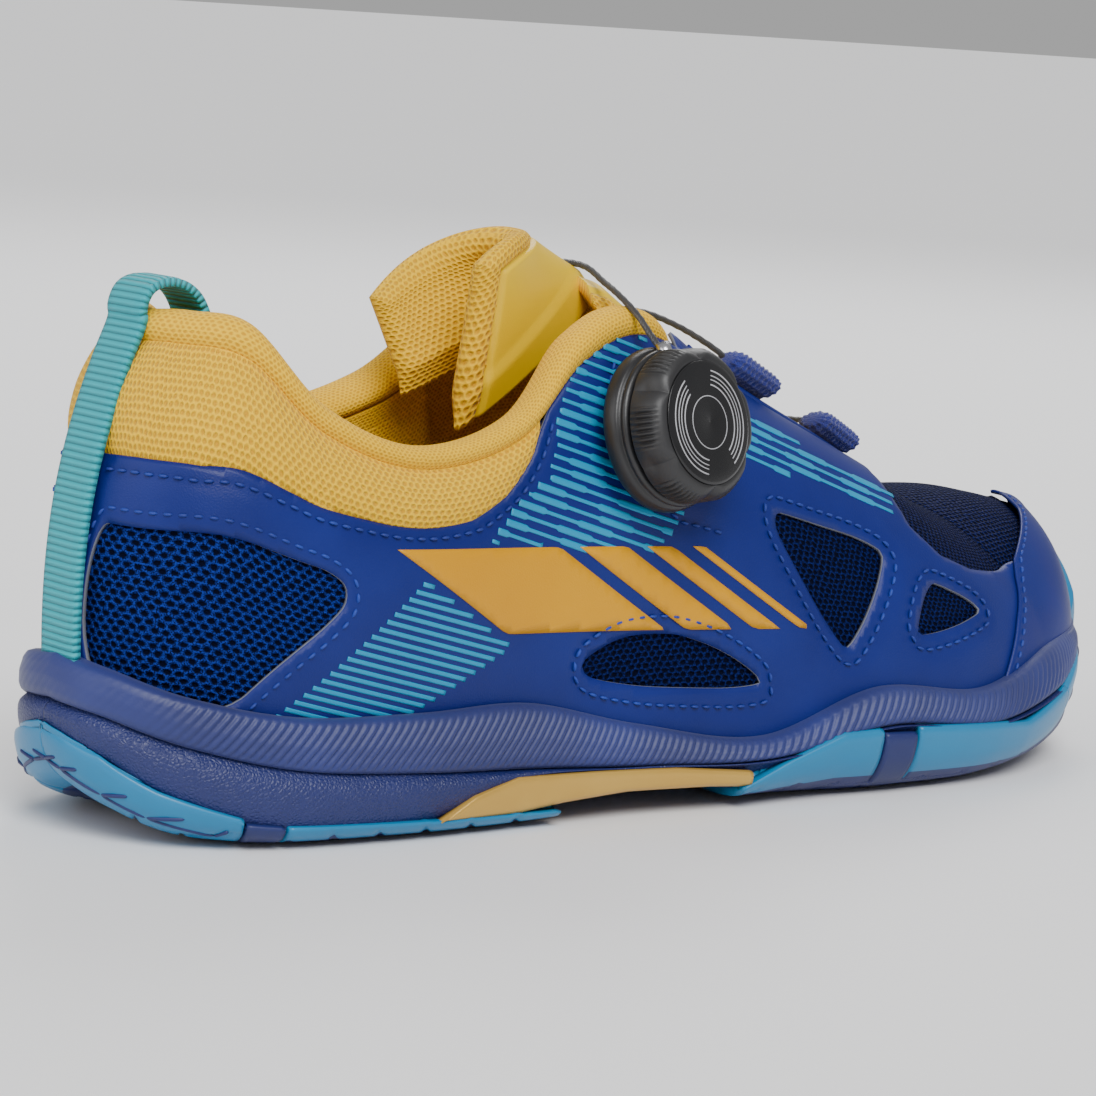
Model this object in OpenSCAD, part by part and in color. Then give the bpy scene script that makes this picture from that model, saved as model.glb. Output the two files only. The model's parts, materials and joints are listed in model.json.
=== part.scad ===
// Low-cut court shoe for the right foot. A turning dial on the outer side winds a thin
// cable that closes the throat. Millimetres, +X from heel to toe, the outer side of the
// foot is -Y, +Z is up. The origin is on the ground under the middle of the shoe.

/* [Size] */
// Overall length from the heel to the toe bumper
shoe_length = 278; // [265:1:295]
// Overall width across the forefoot
shoe_width = 100; // [95:1:106]
// Height of the collar's top edge above the ground at the heel
collar_height = 98; // [93:1:104]

/* [Upper] */
// Thickness of the moulded film over the mesh
film_t = 1.2; // [0.8:0.1:1.4]
// Thickness of the outer mesh
mesh_t = 1.2; // [0.8:0.1:1.4]
// Thickness of the inner lining
lining_t = 1; // [0.8:0.1:1.2]
// Thickness of the stiff heel counter and toe puff
stiffener_t = 1.2; // [0.8:0.1:1.4]
// Thickness of the foam in the padded collar
collar_foam_t = 5; // [3:0.5:6]
// Thickness of the padded tongue
tongue_t = 6; // [4:0.5:7]

/* [Sole] */
// Thickness of the rubber outsole and of the arch plate
outsole_t = 3; // [2.5:0.1:3.5]
// How far the ribbed side band stands out from the upper
band_t = 5; // [4:0.5:5.5]
// Thickness of the insole board
board_t = 2; // [1.5:0.1:2.5]
// Thickness of the loose foam insole
insole_t = 4; // [3:0.5:5]

/* [Dial] */
// Diameter of the turning knob over its rubber grip
knob_d = 29; // [27:0.5:30]
// Height of the turning knob
knob_h = 9; // [8:0.5:10]
// Diameter of the fixed pin that the dial turns on
post_d = 4; // [3.5:0.5:5]
// Diameter of the lace cable
cable_d = 1.2; // [1:0.1:1.4]

/* [Hidden] */

// The tables below are drawn for a shoe 278 long, 100 wide and 98 high at the collar.
// Points are [distance from the heel, side, height], with the outer side negative. The
// middle of that shoe lies at middle_x and middle_y.
drawn_size = [278, 100, 98];
scale_x = shoe_length / drawn_size[0];
scale_y = shoe_width / drawn_size[1];
scale_z = collar_height / drawn_size[2];
middle_x = 142.6;
middle_y = .4;

// Lower edge of the upper: stations 0 at the heel, 1 to 11 outer side, 12 toe, 13 to 23
// inner side.
FOOT = [[9, 0, 22], [11.5, -11, 21], [21, -21, 19], [40, -28.5, 17], [66, -32, 15.5],
    [92, -33, 14], [120, -35, 12], [150, -39.5, 10.8], [180, -43.5, 10.8],
    [210, -44, 11], [238, -37, 12], [260, -22, 15], [271, 2, 19], [265, 24, 15],
    [246, 39, 12], [218, 45, 11], [190, 44, 10.8], [160, 38, 10.8], [130, 32, 12],
    [100, 29, 14], [72, 29.5, 15.5], [44, 28, 17], [22, 21, 19], [11.5, 11, 21]];
// Edge of the opening: stations 0 at the heel, 1 to 9 outer side, 10 front of the throat,
// 11 to 19 inner side.
COLLAR = [[21, 0, 98], [24, -10, 98.5], [33, -19, 96.5], [46, -25, 82], [66, -28, 74.5],
    [90, -27, 79.5], [107, -23, 95], [126, -18.5, 99.5], [155, -15, 84],
    [188, -11, 69], [210, 0, 59], [188, 13, 69], [155, 14, 84], [126, 17, 99],
    [107, 21, 95], [90, 25, 82], [66, 27, 76], [46, 24.5, 84], [33, 19, 96.5],
    [24, 10, 98.5]];
// Ridge over the toes, from the front of the throat to the toe.
RIDGE = [[210, 0, 59], [236, 2, 57.5], [261, 2, 53]];
// Per station from heel to toe: how round the side wall is (0 straight, 1 quarter arc),
// and how far it swells outwards.
ROUND = [.15, .15, .15, .15, .2, .25, .3, .35, .55, .75, .9, 1, 1];
SWELL = [5, 5.5, 6, 5, 4, 3, 3, 3, 3, 2.5, 2.5, 4, 5];
// Per station from heel to toe: heights of the side band's top edge, of the outsole's
// top edge and of the sole's underside.
BAND_TOP = [34, 32, 28, 24.5, 24, 24, 18, 14, 22.5, 21, 22, 26, 30];
RUBBER_TOP = [18.5, 15.5, 10, 6, 5, 5.5, 8, 9.2, 9.2, 9.2, 10.5, 13.5, 17.5];
GROUND = [8, 4.5, 1, 0, 0, .3, 2.5, 1, 0, .2, 3, 7.5, 12.5];

// Stations where the sole's pieces are cut.
HEEL_CUT = [0, .5, 1, 1.5, 2, 2.5];
SPACER_CUT = [2.5, 2.9];
HEEL_FRONT_CUT = [2.9, 3.5, 4, 4.5, 5.2];
ARCH_CUT = [5.2, 5.5, 6, 6.5, 7];
FORE_REAR_CUT = [7, 7.6, 8.2];
FORE_SPACER_CUT = [8.2, 8.45];
FORE_FRONT_CUT = [8.45, 9, 9.5, 10];
TOE_CUT = [10, 10.5, 11, 11.5, 12];
SOLE_CUT = concat([0, .5, 1, 1.5, 2], SPACER_CUT, [3.5, 4, 4.5], ARCH_CUT,
    [7.6], FORE_SPACER_CUT, [9, 9.5], TOE_CUT);

// Dial seat: where its base touches the upper, and how its axis is turned and tilted.
DIAL_AT = [122.5, -32.4, 76];
dial_yaw = 8;
dial_tilt = 14;
base_h = 4.8;
spool_d = 20;
sleeve_d = 8;
running_gap = .05;
free_gap = .4;
// Gap under the insole board, whose facets don't follow the foam's exactly.
bed_gap = .6;

// Route of the lace cable from the dial to its knot at the front of the throat.
CABLE = [[122.3, -31.4, 91.8], [122.2, -28, 95.5], [122.2, -23.5, 99.8],
    [122.6, -17, 103.2], [123.8, -11, 105.2], [124.8, -4, 107.4], [124.8, 4, 107.6],
    [125.6, 11, 105.8], [129, 15.5, 102.9], [133, 16.6, 99.8], [141, 15.9, 95.6],
    [145, 12, 94.9], [148, 4, 95.6], [151, -4, 93.6], [154, -12, 90],
    [158, -15, 86.4], [167, -14.1, 82], [169.5, -11.5, 81.3], [171, -4, 81],
    [172, 4, 80.8], [173, 10.5, 79.8], [175, 13.6, 79], [182, 13.2, 75.7],
    [184.3, 10.5, 74.4], [185, 4, 73.2], [185.8, -4, 73.2], [186.6, -9, 73.4],
    [188, -11, 72.8], [196, -9.6, 69], [198, -7, 68], [199, -1, 67.1],
    [199.8, 5, 67.3], [201.5, 8.8, 67.3], [207, 8.3, 65.2]];
// First point of each straight stretch that runs through a webbing guide.
LATERAL_GUIDES = [15, 27];
MEDIAL_GUIDES = [9, 21, 32];
guide_d = 5;

function steps(a, b, n) = [for (i = [0:n]) a + (b - a) * i / n];
function unit(p) = p / norm(p);
function place(p) = [(p[0] - middle_x) * scale_x, (p[1] - middle_y) * scale_y,
    p[2] * scale_z];
// How many stations s is from the heel, on either side, and whether it is on the outer one.
function side(s) = abs((s + 36) % 24 - 12);
function on_outer(s) = (s + 24) % 24 <= 12;

// A smooth curve through four neighbours b to c, at fraction f.
function smooth(a, b, c, d, f) = (2 * b + (c - a) * f
    + (2 * a - 5 * b + 4 * c - d) * f * f + (3 * b - a - 3 * c + d) * f * f * f) / 2;
function at(P, i) = P[(i + len(P)) % len(P)];
function on_loop(P, s) = let(i = floor(s), f = s - i)
    smooth(at(P, i - 1), at(P, i), at(P, i + 1), at(P, i + 2), f);
function on_run(P, s) = let(n = len(P), i = max(0, min(floor(s), n - 2)), f = s - i,
    a = i > 0 ? P[i - 1] : 2 * P[0] - P[1],
    d = i < n - 2 ? P[i + 2] : 2 * P[n - 1] - P[n - 2]) smooth(a, P[i], P[i + 1], d, f);

// Lower edge and opening edge of the upper at station s.
function foot(s) = on_loop(FOOT, s);
function opening(s) = side(s) > 10 ? on_run(RIDGE, side(s) - 10)
    : on_loop(COLLAR, on_outer(s) ? side(s) : 20 - side(s));

// Level direction that points out of the shoe at station s.
function outward(s) = let(t = foot(s + .01) - foot(s - .01)) unit([t[1], -t[0], 0]);

// The upper's outer surface: v climbs from the lower edge at 0 to the opening at 1.
function skin(s, v) = let(k = on_run(ROUND, side(s)), a = foot(s), c = opening(s),
    h = (1 - k) * v + k * (1 - cos(90 * v)), z = (1 - k) * v + k * sin(90 * v))
    a + [(c[0] - a[0]) * h, (c[1] - a[1]) * h, (c[2] - a[2]) * z]
    + outward(s) * on_run(SWELL, side(s)) * sin(180 * v);
function skin_normal(s, v) = v < .02 ? outward(s)
    : unit(cross(skin(s + .01, v) - skin(s - .01, v), skin(s, v) - skin(s, v - .01)));
// A point of the skin moved out by d.
function layer(s, v, d) = place(skin(s, v) + skin_normal(s, v) * d);
// The same for w running 0 to 2 from the outer side over the ridge to the inner side.
function over(s, w, d) = w <= 1 ? layer(s, w, d) : layer(24 - s, 2 - w, d);
// How far up the skin a given height lies.
function rise_to(s, z, n = 8, v = .2) = n == 0 ? v : let(p = skin(s, v)[2])
    rise_to(s, z, n - 1, min(1, max(.02, v + (z - p) / (opening(s)[2] - foot(s)[2]))));

// A closed solid between two grids of points, a and b. Rows run heel to toe. A row whose
// points fold onto each other, as at the heel and the toe, takes no end cap.
function quad(p, a, b, c, d) = concat(
    norm(p[a] - p[b]) > .001 && norm(p[b] - p[c]) > .001 && norm(p[c] - p[a]) > .001
        ? [[a, b, c]] : [],
    norm(p[a] - p[c]) > .001 && norm(p[c] - p[d]) > .001 && norm(p[d] - p[a]) > .001
        ? [[a, c, d]] : []);
module between(a, b, cap_start = true, cap_end = true) {
    rows = len(a) - 1;
    cols = len(a[0]) - 1;
    shift = (rows + 1) * (cols + 1);
    p = concat([for (r = a) for (q = r) q], [for (r = b) for (q = r) q]);
    function ia(i, j) = i * (cols + 1) + j;
    function ib(i, j) = shift + ia(i, j);
    polyhedron(p, concat(
        [for (i = [0:rows - 1]) for (j = [0:cols - 1]) each
            quad(p, ia(i, j), ia(i, j + 1), ia(i + 1, j + 1), ia(i + 1, j))],
        [for (i = [0:rows - 1]) for (j = [0:cols - 1]) each
            quad(p, ib(i, j), ib(i + 1, j), ib(i + 1, j + 1), ib(i, j + 1))],
        [for (i = [0:rows - 1]) each
            quad(p, ia(i, 0), ia(i + 1, 0), ib(i + 1, 0), ib(i, 0))],
        [for (i = [0:rows - 1]) each
            quad(p, ia(i, cols), ib(i, cols), ib(i + 1, cols), ia(i + 1, cols))],
        cap_start ? [for (j = [0:cols - 1]) each
            quad(p, ia(0, j), ib(0, j), ib(0, j + 1), ia(0, j + 1))] : [],
        cap_end ? [for (j = [0:cols - 1]) each
            quad(p, ia(rows, j), ia(rows, j + 1), ib(rows, j + 1), ib(rows, j))] : []));
}

// A sheet of the side wall from station s0 to s1 and from v0 to v1, between two depths.
module wall(s0, s1, v0, v1, inner, outer) {
    s_list = steps(s0, s1, (s1 - s0) * 2);
    v_list = steps(v0, v1, round((v1 - v0) * 10));
    between([for (s = s_list) [for (v = v_list) layer(s, v, outer)]],
        [for (s = s_list) [for (v = v_list) layer(s, v, inner)]]);
}

// A sheet over the toes, from station s0 to the toe, that runs side to side over the
// ridge and starts v0 above the lower edge.
module toe_wall(s0, v0, inner, outer) {
    s_list = steps(s0, 12, (12 - s0) * 2);
    w_list = concat(steps(v0, 1, round((1 - v0) * 10)),
        [for (v = steps(1, v0, round((1 - v0) * 10))) if (v < .99) 2 - v]);
    between([for (s = s_list) [for (w = w_list) over(s, w, outer)]],
        [for (s = s_list) [for (w = w_list) over(s, w, inner)]], true, false);
}

// A point beside the lower edge at station s, moved out by d, at height z.
function beside(s, d, z) = let(p = foot(s) + outward(s) * d) place([p[0], p[1], z]);

// Cross rows of the sole's outer face and of its inner face, from the outer side's rim
// under the foot to the inner side's rim.
function rim_half(s, k) = let(q = side(s), g = max(0, on_run(GROUND, q)),
    z = on_run(RUBBER_TOP, q)) k == 0
    ? [beside(s, 5, z), beside(s, 4, g + (z - g) * .4), beside(s, .5, g + .6),
        beside(s, -5, g)]
    : [beside(s, 2.2, z), beside(s, 1.2, g + outsole_t + (z - g) * .2),
        beside(s, -1.5, g + outsole_t + .4), beside(s, -6, g + outsole_t)];
function mirrored(r) = [for (i = [len(r) - 1:-1:0]) r[i]];
function across(a, b) = concat(a, [a[3] * .67 + b[3] * .33, a[3] * .33 + b[3] * .67],
    mirrored(b));
function rim(s, k) = across(rim_half(s, k), rim_half(24 - s, k));

// One cup-shaped piece of the outsole that covers the given stations.
module sole_piece(cuts, cap_start = true, cap_end = true) {
    between([for (s = cuts) rim(s, 1)], [for (s = cuts) rim(s, 0)], cap_start, cap_end);
}

// A flat layer under the foot: d is measured out from the lower edge, z up from it.
module footbed(d_heel, d_toe, z0, z1) {
    function edge(s, z) = beside(s, side(s) < 4.5 ? d_heel : d_toe, foot(s)[2] + z);
    function row(s, z) = let(a = edge(s, z), b = edge(24 - s, z))
        [for (t = steps(0, 1, 4)) a + (b - a) * t];
    s_list = steps(0, 12, 24);
    between([for (s = s_list) row(s, z1)], [for (s = s_list) row(s, z0)], false, false);
}

module on_dial() {
    translate(place(DIAL_AT)) rotate([0, 0, dial_yaw]) rotate([90 - dial_tilt, 0, 0])
        children();
}

// A round ring or, with no bore, a disc from z0 up to z1.
module ring(z0, z1, d, bore = 0) {
    rotate_extrude($fn = 96)
        translate([bore / 2, z0]) square([(d - bore) / 2, z1 - z0]);
}

// A tube that runs straight from a to b.
module straight_tube(a, b, d, bore) {
    v = b - a;
    translate(a) rotate([0, acos(v[2] / norm(v)), atan2(v[1], v[0])])
        ring(0, norm(v), d, bore);
}

// ---- sole ----
module outsole_heel() color("deepskyblue") sole_piece(HEEL_CUT, false, true);
module outsole_heel_spacer() color("midnightblue") sole_piece(SPACER_CUT);
module outsole_heel_front() color("deepskyblue") sole_piece(HEEL_FRONT_CUT);
module shank_plate() color("goldenrod") sole_piece(ARCH_CUT);
module outsole_forefoot_rear() color("deepskyblue") sole_piece(FORE_REAR_CUT);
module outsole_forefoot_spacer() color("midnightblue") sole_piece(FORE_SPACER_CUT);
module outsole_forefoot_front() color("deepskyblue") sole_piece(FORE_FRONT_CUT);

// The toe piece of the outsole, with a guard that climbs the front of the toe.
module toe_bumper() color("deepskyblue") {
    // [height up the skin, inner and outer distance from it]
    guard = [[.02, band_t + .6, band_t + 3.2], [.2, band_t + .4, band_t + 3.2],
        [.32, 1.4, 4.4], [.5, .6, 3.6], [.62, .6, 2]];
    s_list = steps(11.5, 12.5, 4);
    sole_piece(TOE_CUT, true, false);
    between([for (s = s_list) [for (g = guard) layer(s, g[0], g[2])]],
        [for (s = s_list) [for (g = guard) layer(s, g[0], g[1])]]);
}

// The foam body between the outsole and the upper, with a pocket for the heel cushion.
module midsole() {
    function low_half(s) = let(r = rim_half(s, 1)) [beside(s, 5, on_run(RUBBER_TOP,
        side(s))), r[0], r[1], r[2], r[3]];
    function low(s) = let(a = low_half(s), b = low_half(24 - s))
        concat(a, [a[4] * .67 + b[4] * .33, a[4] * .33 + b[4] * .67], mirrored(b));
    function top_half(s) = [for (d = [5, 2.2, 1.2, -1.5, -6])
        beside(s, d, foot(s)[2] - bed_gap)];
    function top(s) = let(a = top_half(s), b = top_half(24 - s))
        concat(a, [a[4] * .67 + b[4] * .33, a[4] * .33 + b[4] * .67], mirrored(b));
    color("darkslateblue") difference() {
        between([for (s = SOLE_CUT) top(s)], [for (s = SOLE_CUT) low(s)], false, false);
        translate(place([42, 0, 8])) ring(0, 30, 32.6);
    }
}

module heel_cushion() color("gold") translate(place([42, 0, 8.3])) ring(0, 7.5, 32);

// The ribbed band that cups the lower edge of the upper.
module sidewall_band() {
    s_list = steps(0, 24, 48);
    function row(s, out) = let(v = rise_to(s, on_run(BAND_TOP, side(s))))
        [beside(s, out ? band_t : .4, foot(s)[2]), layer(s, v * .35, out ? band_t : .4),
            layer(s, v * .7, out ? band_t - .4 : .4),
            layer(s, v, out ? band_t - 1.8 : .4)];
    color("mediumblue") between([for (s = s_list) row(s % 24, true)],
        [for (s = s_list) row(s % 24, false)], false, false);
}

module insole_board() color("tan") footbed(-6, -5, 0, board_t);
module insole() color("gold") footbed(-7.5, -7, board_t + .3, board_t + insole_t);

// ---- upper ----
mesh_in = -film_t - mesh_t;
lining_in = mesh_in - stiffener_t - lining_t;

module heel_counter() color("dimgray") wall(-4, 4, 0, .5, mesh_in - stiffener_t, mesh_in);
module toe_puff() color("dimgray") toe_wall(10.5, .1, mesh_in - stiffener_t, mesh_in);
module vamp_mesh() color("navy") toe_wall(10, 0, mesh_in, -film_t);
module quarter_lateral() color("navy") wall(0, 10, 0, .9, mesh_in, -film_t);
module quarter_medial() color("navy") wall(14, 24, 0, .9, mesh_in, -film_t);
module overlay_lateral() color("mediumblue") {
    wall(0, 5.5, 0, .6, -film_t, 0);
    wall(5.5, 11, 0, .9, -film_t, 0);
}
module overlay_medial() color("mediumblue") {
    wall(18.5, 24, 0, .6, -film_t, 0);
    wall(13, 18.5, 0, .9, -film_t, 0);
}
module toe_cap() color("mediumblue") toe_wall(11, 0, -film_t, 0);
module eyestay_lateral() color("deepskyblue") wall(7.5, 10, .91, 1, mesh_in, 0);
module eyestay_medial() color("deepskyblue") wall(14, 16.5, .91, 1, mesh_in, 0);

// ---- collar ----
module collar_panel() color("khaki") wall(-5.5, 5.5, .6, .9, -film_t, .6);
module collar_foam() color("gold")
    wall(-5.5, 5.5, .6, .9, mesh_in - collar_foam_t, mesh_in);
module collar_roll() color("khaki") wall(-7.5, 7.5, .9, 1, mesh_in - collar_foam_t, 0);
module collar_lining() color("orange")
    wall(-5.5, 5.5, .6, .9, mesh_in - collar_foam_t - lining_t, mesh_in - collar_foam_t);
module quarter_lining_lateral() color("orange")
    wall(4, 10, 0, .5, lining_in, mesh_in - stiffener_t);
module quarter_lining_medial() color("orange")
    wall(14, 20, 0, .5, lining_in, mesh_in - stiffener_t);
module vamp_lining() color("orange") toe_wall(10, 0, lining_in, mesh_in - stiffener_t);

// A ribbon of webbing up the heel that loops over the collar.
module heel_pull_tab() {
    tab_w = 11;
    tab_t = 1.6;
    climb = [for (v = steps(.2, .95, 8)) skin(0, v) + [-1, 0, 0]];
    loop = [[19.5, 0, 100], [21.5, 0, 104.5], [25.5, 0, 106.5], [30, 0, 105],
        [32.5, 0, 101], [33.2, 0, 96], [33.2, 0, 90]];
    line = concat(climb, loop);
    function turn(i) = let(t = unit(line[min(i + 1, len(line) - 1)]
        - line[max(i - 1, 0)])) [-t[2], 0, t[0]];
    function edge(i, out) = [for (y = [tab_w / 2, -tab_w / 2])
        place(line[i] + turn(i) * (out ? tab_t : 0)) + [0, y, 0]];
    color("turquoise") between([for (i = [0:len(line) - 1]) mirrored(edge(i, true))],
        [for (i = [0:len(line) - 1]) mirrored(edge(i, false))]);
}

// ---- tongue ----
// The part under the cable: [distance from the heel, half width, height] along its middle.
TONGUE = [[124, 10, 105.6], [141, 10, 95], [155, 13, 87.4], [172, 15, 77.6],
    [188, 15, 67], [203, 7, 56.5]];
module tongue_base() {
    function row(t, z) = let(c = on_run(TONGUE, t)) [for (u = steps(-1, 1, 6))
        place([c[0] - u * u * 3, c[1] * u, c[2] - u * u * c[1] * c[1] / 36 + z])];
    rows = steps(0, 5, 15);
    color("gold") between([for (t = rows) row(t, 0)],
        [for (t = rows) row(t, -tongue_t)]);
}

// The free top: a padded hood bent round the shin. Its middle leans back from the cable
// and its two wings point to the heel, the outer one higher than the inner one.
module tongue_top() {
    function spot(u, h, d) = let(k = 1 - cos(90 * u),
        middle = [121 - 15 * h, 107 + 7 * h],
        wing = u < 0 ? [91, 86 + 30 * h] : [87 - 3 * h, 86 + 17 * h],
        p = middle + (wing - middle) * k, half_w = 11 + (u < 0 ? 5 : 8) * h)
        place([p[0] - d * .45 * cos(90 * u), (half_w - d) * sin(90 * u),
            p[1] - d * .9 * cos(90 * u)]);
    us = steps(-1, 1, 14);
    hs = steps(0, 1, 5);
    color("gold") between([for (u = us) [for (h = hs) spot(u, h, 0)]],
        [for (u = us) [for (h = hs) spot(u, h, tongue_t)]]);
}

// ---- lacing ----
module guides(list) {
    for (g = list) straight_tube(place(CABLE[g]), place(CABLE[g + 1]), guide_d,
        cable_d + 1.4);
}
module lace_guides_lateral() color("royalblue") guides(LATERAL_GUIDES);
module lace_guides_medial() color("royalblue") guides(MEDIAL_GUIDES);

// The cable: eight-sided rings swept along its route, two to each stretch.
module lace_cable() {
    n = len(CABLE);
    spots = [for (t = steps(0, n - 1, (n - 1) * 2)) place(on_run(CABLE, t))];
    last = len(spots) - 1;
    function along(i) = unit(spots[min(i + 1, last)] - spots[max(i - 1, 0)]);
    function round_it(i) = let(t = along(i), a = unit(cross(t, [.2, .3, 1])),
        b = cross(t, a)) [for (k = [0:7])
        spots[i] + (a * cos(45 * k) + b * sin(45 * k)) * cable_d / 2];
    color("dimgray") polyhedron([for (i = [0:last]) each round_it(i)], concat(
        [[7, 6, 5, 4, 3, 2, 1, 0]], [[for (k = [0:7]) last * 8 + k]],
        [for (i = [0:last - 1]) for (k = [0:7]) let(m = (k + 1) % 8) each
            [[i * 8 + k, i * 8 + m, i * 8 + 8 + m], [i * 8 + k, i * 8 + 8 + m,
            i * 8 + 8 + k]]]));
}

// ---- dial ----
// Fixed housing: a stitched flange and a cup that holds the spool.
module dial_base() color("black") on_dial() {
    ring(0, 1.4, knob_d + 2, post_d - .2);
    ring(1.4, base_h, knob_d - .6, spool_d + 2 * free_gap);
}
module dial_post() color("silver") on_dial() ring(1.4, knob_h + 1.4, post_d);
module dial_spring() color("silver") on_dial()
    ring(5.2, 5.7, sleeve_d - .6, post_d + 2 * running_gap);
// Drum with a groove for the cable.
module dial_spool() color("dimgray") on_dial() {
    ring(1.8, 2.4, spool_d, post_d + 2 * running_gap);
    ring(2.4, 4, spool_d - 6, post_d + 2 * running_gap);
    ring(4, 4.6, spool_d, post_d + 2 * running_gap);
}
module cable_winding() color("dimgray") on_dial() ring(2.4, 4, spool_d - 1, spool_d - 6);
// Sleeve that slides on the post and carries the knob.
module dial_sleeve() color("silver") on_dial()
    ring(6, knob_h + 1, sleeve_d, post_d + 2 * running_gap);
// Toothed disc that locks the knob to the spool while the knob is pushed in.
module dial_ratchet() color("dimgray") on_dial() difference() {
    ring(5.3, 6.5, spool_d + 1, sleeve_d + 2 * running_gap);
    for (k = [0:23]) rotate([0, 0, 15 * k]) translate([spool_d / 2 + .8, 0, 5])
        cylinder(d = 1.4, h = 3, $fn = 24);
}
module dial_knob() color("black") on_dial() {
    ring(base_h + .4, 6.5, knob_d - 1.6, spool_d + 1);
    ring(6.5, knob_h + 2, knob_d - 1.6, sleeve_d + 2 * running_gap);
    ring(knob_h + 2, knob_h + 3, knob_d - 5);
}
// Rubber grip with scalloped flats between its ribs.
module dial_grip() color("black") on_dial() difference() {
    ring(base_h + .4, knob_h + 1, knob_d + 2, knob_d - 1.6);
    for (k = [0:5]) rotate([0, 0, 60 * k]) translate([knob_d / 2 + 11.5, 0, 1])
        cylinder(d = 22, h = knob_h + 4, $fn = 64);
}
module dial_cover() color("dimgray") on_dial() ring(knob_h + 3, knob_h + 3.8, knob_d - 8);

outsole_heel();
outsole_heel_spacer();
outsole_heel_front();
shank_plate();
outsole_forefoot_rear();
outsole_forefoot_spacer();
outsole_forefoot_front();
toe_bumper();
midsole();
heel_cushion();
sidewall_band();
insole_board();
insole();
heel_counter();
toe_puff();
vamp_mesh();
quarter_lateral();
quarter_medial();
overlay_lateral();
overlay_medial();
toe_cap();
collar_panel();
collar_foam();
collar_roll();
collar_lining();
quarter_lining_lateral();
quarter_lining_medial();
vamp_lining();
eyestay_lateral();
eyestay_medial();
heel_pull_tab();
tongue_base();
tongue_top();
lace_guides_lateral();
lace_guides_medial();
lace_cable();
dial_base();
dial_post();
dial_spring();
dial_spool();
cable_winding();
dial_sleeve();
dial_ratchet();
dial_knob();
dial_grip();
dial_cover();
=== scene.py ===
import bpy
import json
import numpy as np
from mathutils import Matrix, Vector
from mathutils.geometry import delaunay_2d_cdt

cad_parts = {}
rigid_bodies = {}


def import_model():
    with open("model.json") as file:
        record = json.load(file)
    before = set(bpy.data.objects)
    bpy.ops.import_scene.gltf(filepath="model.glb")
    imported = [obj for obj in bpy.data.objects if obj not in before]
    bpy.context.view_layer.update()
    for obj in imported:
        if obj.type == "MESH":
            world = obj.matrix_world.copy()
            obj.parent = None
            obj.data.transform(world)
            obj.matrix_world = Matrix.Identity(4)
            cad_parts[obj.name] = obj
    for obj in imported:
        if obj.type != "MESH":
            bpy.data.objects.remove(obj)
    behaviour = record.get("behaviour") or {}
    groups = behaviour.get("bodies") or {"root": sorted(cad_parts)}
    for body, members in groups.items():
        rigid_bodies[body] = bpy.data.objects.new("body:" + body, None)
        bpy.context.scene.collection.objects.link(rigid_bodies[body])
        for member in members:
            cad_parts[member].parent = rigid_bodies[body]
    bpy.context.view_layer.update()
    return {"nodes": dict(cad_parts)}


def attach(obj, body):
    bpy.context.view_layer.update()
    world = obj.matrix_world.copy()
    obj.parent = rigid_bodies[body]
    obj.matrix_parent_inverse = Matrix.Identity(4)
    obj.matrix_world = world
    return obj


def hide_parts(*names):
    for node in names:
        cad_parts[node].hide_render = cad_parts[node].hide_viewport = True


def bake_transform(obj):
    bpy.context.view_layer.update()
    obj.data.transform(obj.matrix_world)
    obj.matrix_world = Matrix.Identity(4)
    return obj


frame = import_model()
print("frame loaded")

# ---- the last: same tables as the CAD, in mm from the heel, side and height ----
last = {
    "foot": [[9, 0, 22], [11.5, -11, 21], [21, -21, 19], [40, -28.5, 17], [66, -32, 15.5],
             [92, -33, 14], [120, -35, 12], [150, -39.5, 10.8], [180, -43.5, 10.8],
             [210, -44, 11], [238, -37, 12], [260, -22, 15], [271, 2, 19], [265, 24, 15],
             [246, 39, 12], [218, 45, 11], [190, 44, 10.8], [160, 38, 10.8], [130, 32, 12],
             [100, 29, 14], [72, 29.5, 15.5], [44, 28, 17], [22, 21, 19], [11.5, 11, 21]],
    "collar": [[21, 0, 98], [24, -10, 98.5], [33, -19, 96.5], [46, -25, 82], [66, -28, 74.5],
               [90, -27, 79.5], [107, -23, 95], [126, -18.5, 99.5], [155, -15, 84],
               [188, -11, 69], [210, 0, 59], [188, 13, 69], [155, 14, 84], [126, 17, 99],
               [107, 21, 95], [90, 25, 82], [66, 27, 76], [46, 24.5, 84], [33, 19, 96.5],
               [24, 10, 98.5]],
    "ridge": [[210, 0, 59], [236, 2, 57.5], [261, 2, 53]],
    # per station from heel to toe: roundness, swell, heights of the sole's lines
    "round": [.15, .15, .15, .15, .2, .25, .3, .35, .55, .75, .9, 1, 1],
    "swell": [5, 5.5, 6, 5, 4, 3, 3, 3, 3, 2.5, 2.5, 4, 5],
    "bandTop": [34, 32, 28, 24.5, 24, 24, 18, 14, 22.5, 20.3, 26.3, 28, 30],
    "groove": [25.5, 24, 19.5, 15, 13, 11.8, 10.2, 10, 15.2, 13.4, 17.8, 22.6, 23.6],
    "rubberTop": [19.5, 17, 10, 4.5, 5, 10, 10, 9.5, 14.7, 12.8, 17, 22, 23],
    "ground": [8, 4.5, 1, 0, 0, .3, 2.5, 1, 0, .2, 3, 7.5, 12.5],
    "middle": [142.6, .4],
}
last = {k: np.array(v, float) for k, v in last.items()}


def smooth(a, b, c, d, f):
    # a curve through b and c that leans on their neighbours a and d, at fraction f
    f = f[..., None] if b.ndim > f.ndim else f
    return (2 * b + (c - a) * f + (2 * a - 5 * b + 4 * c - d) * f ** 2
            + (3 * b - a - 3 * c + d) * f ** 3) / 2


def onLoop(table, s):
    i = np.floor(s).astype(int)
    n = len(table)
    return smooth(*(table[(i + k) % n] for k in (-1, 0, 1, 2)), s - i)


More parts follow.
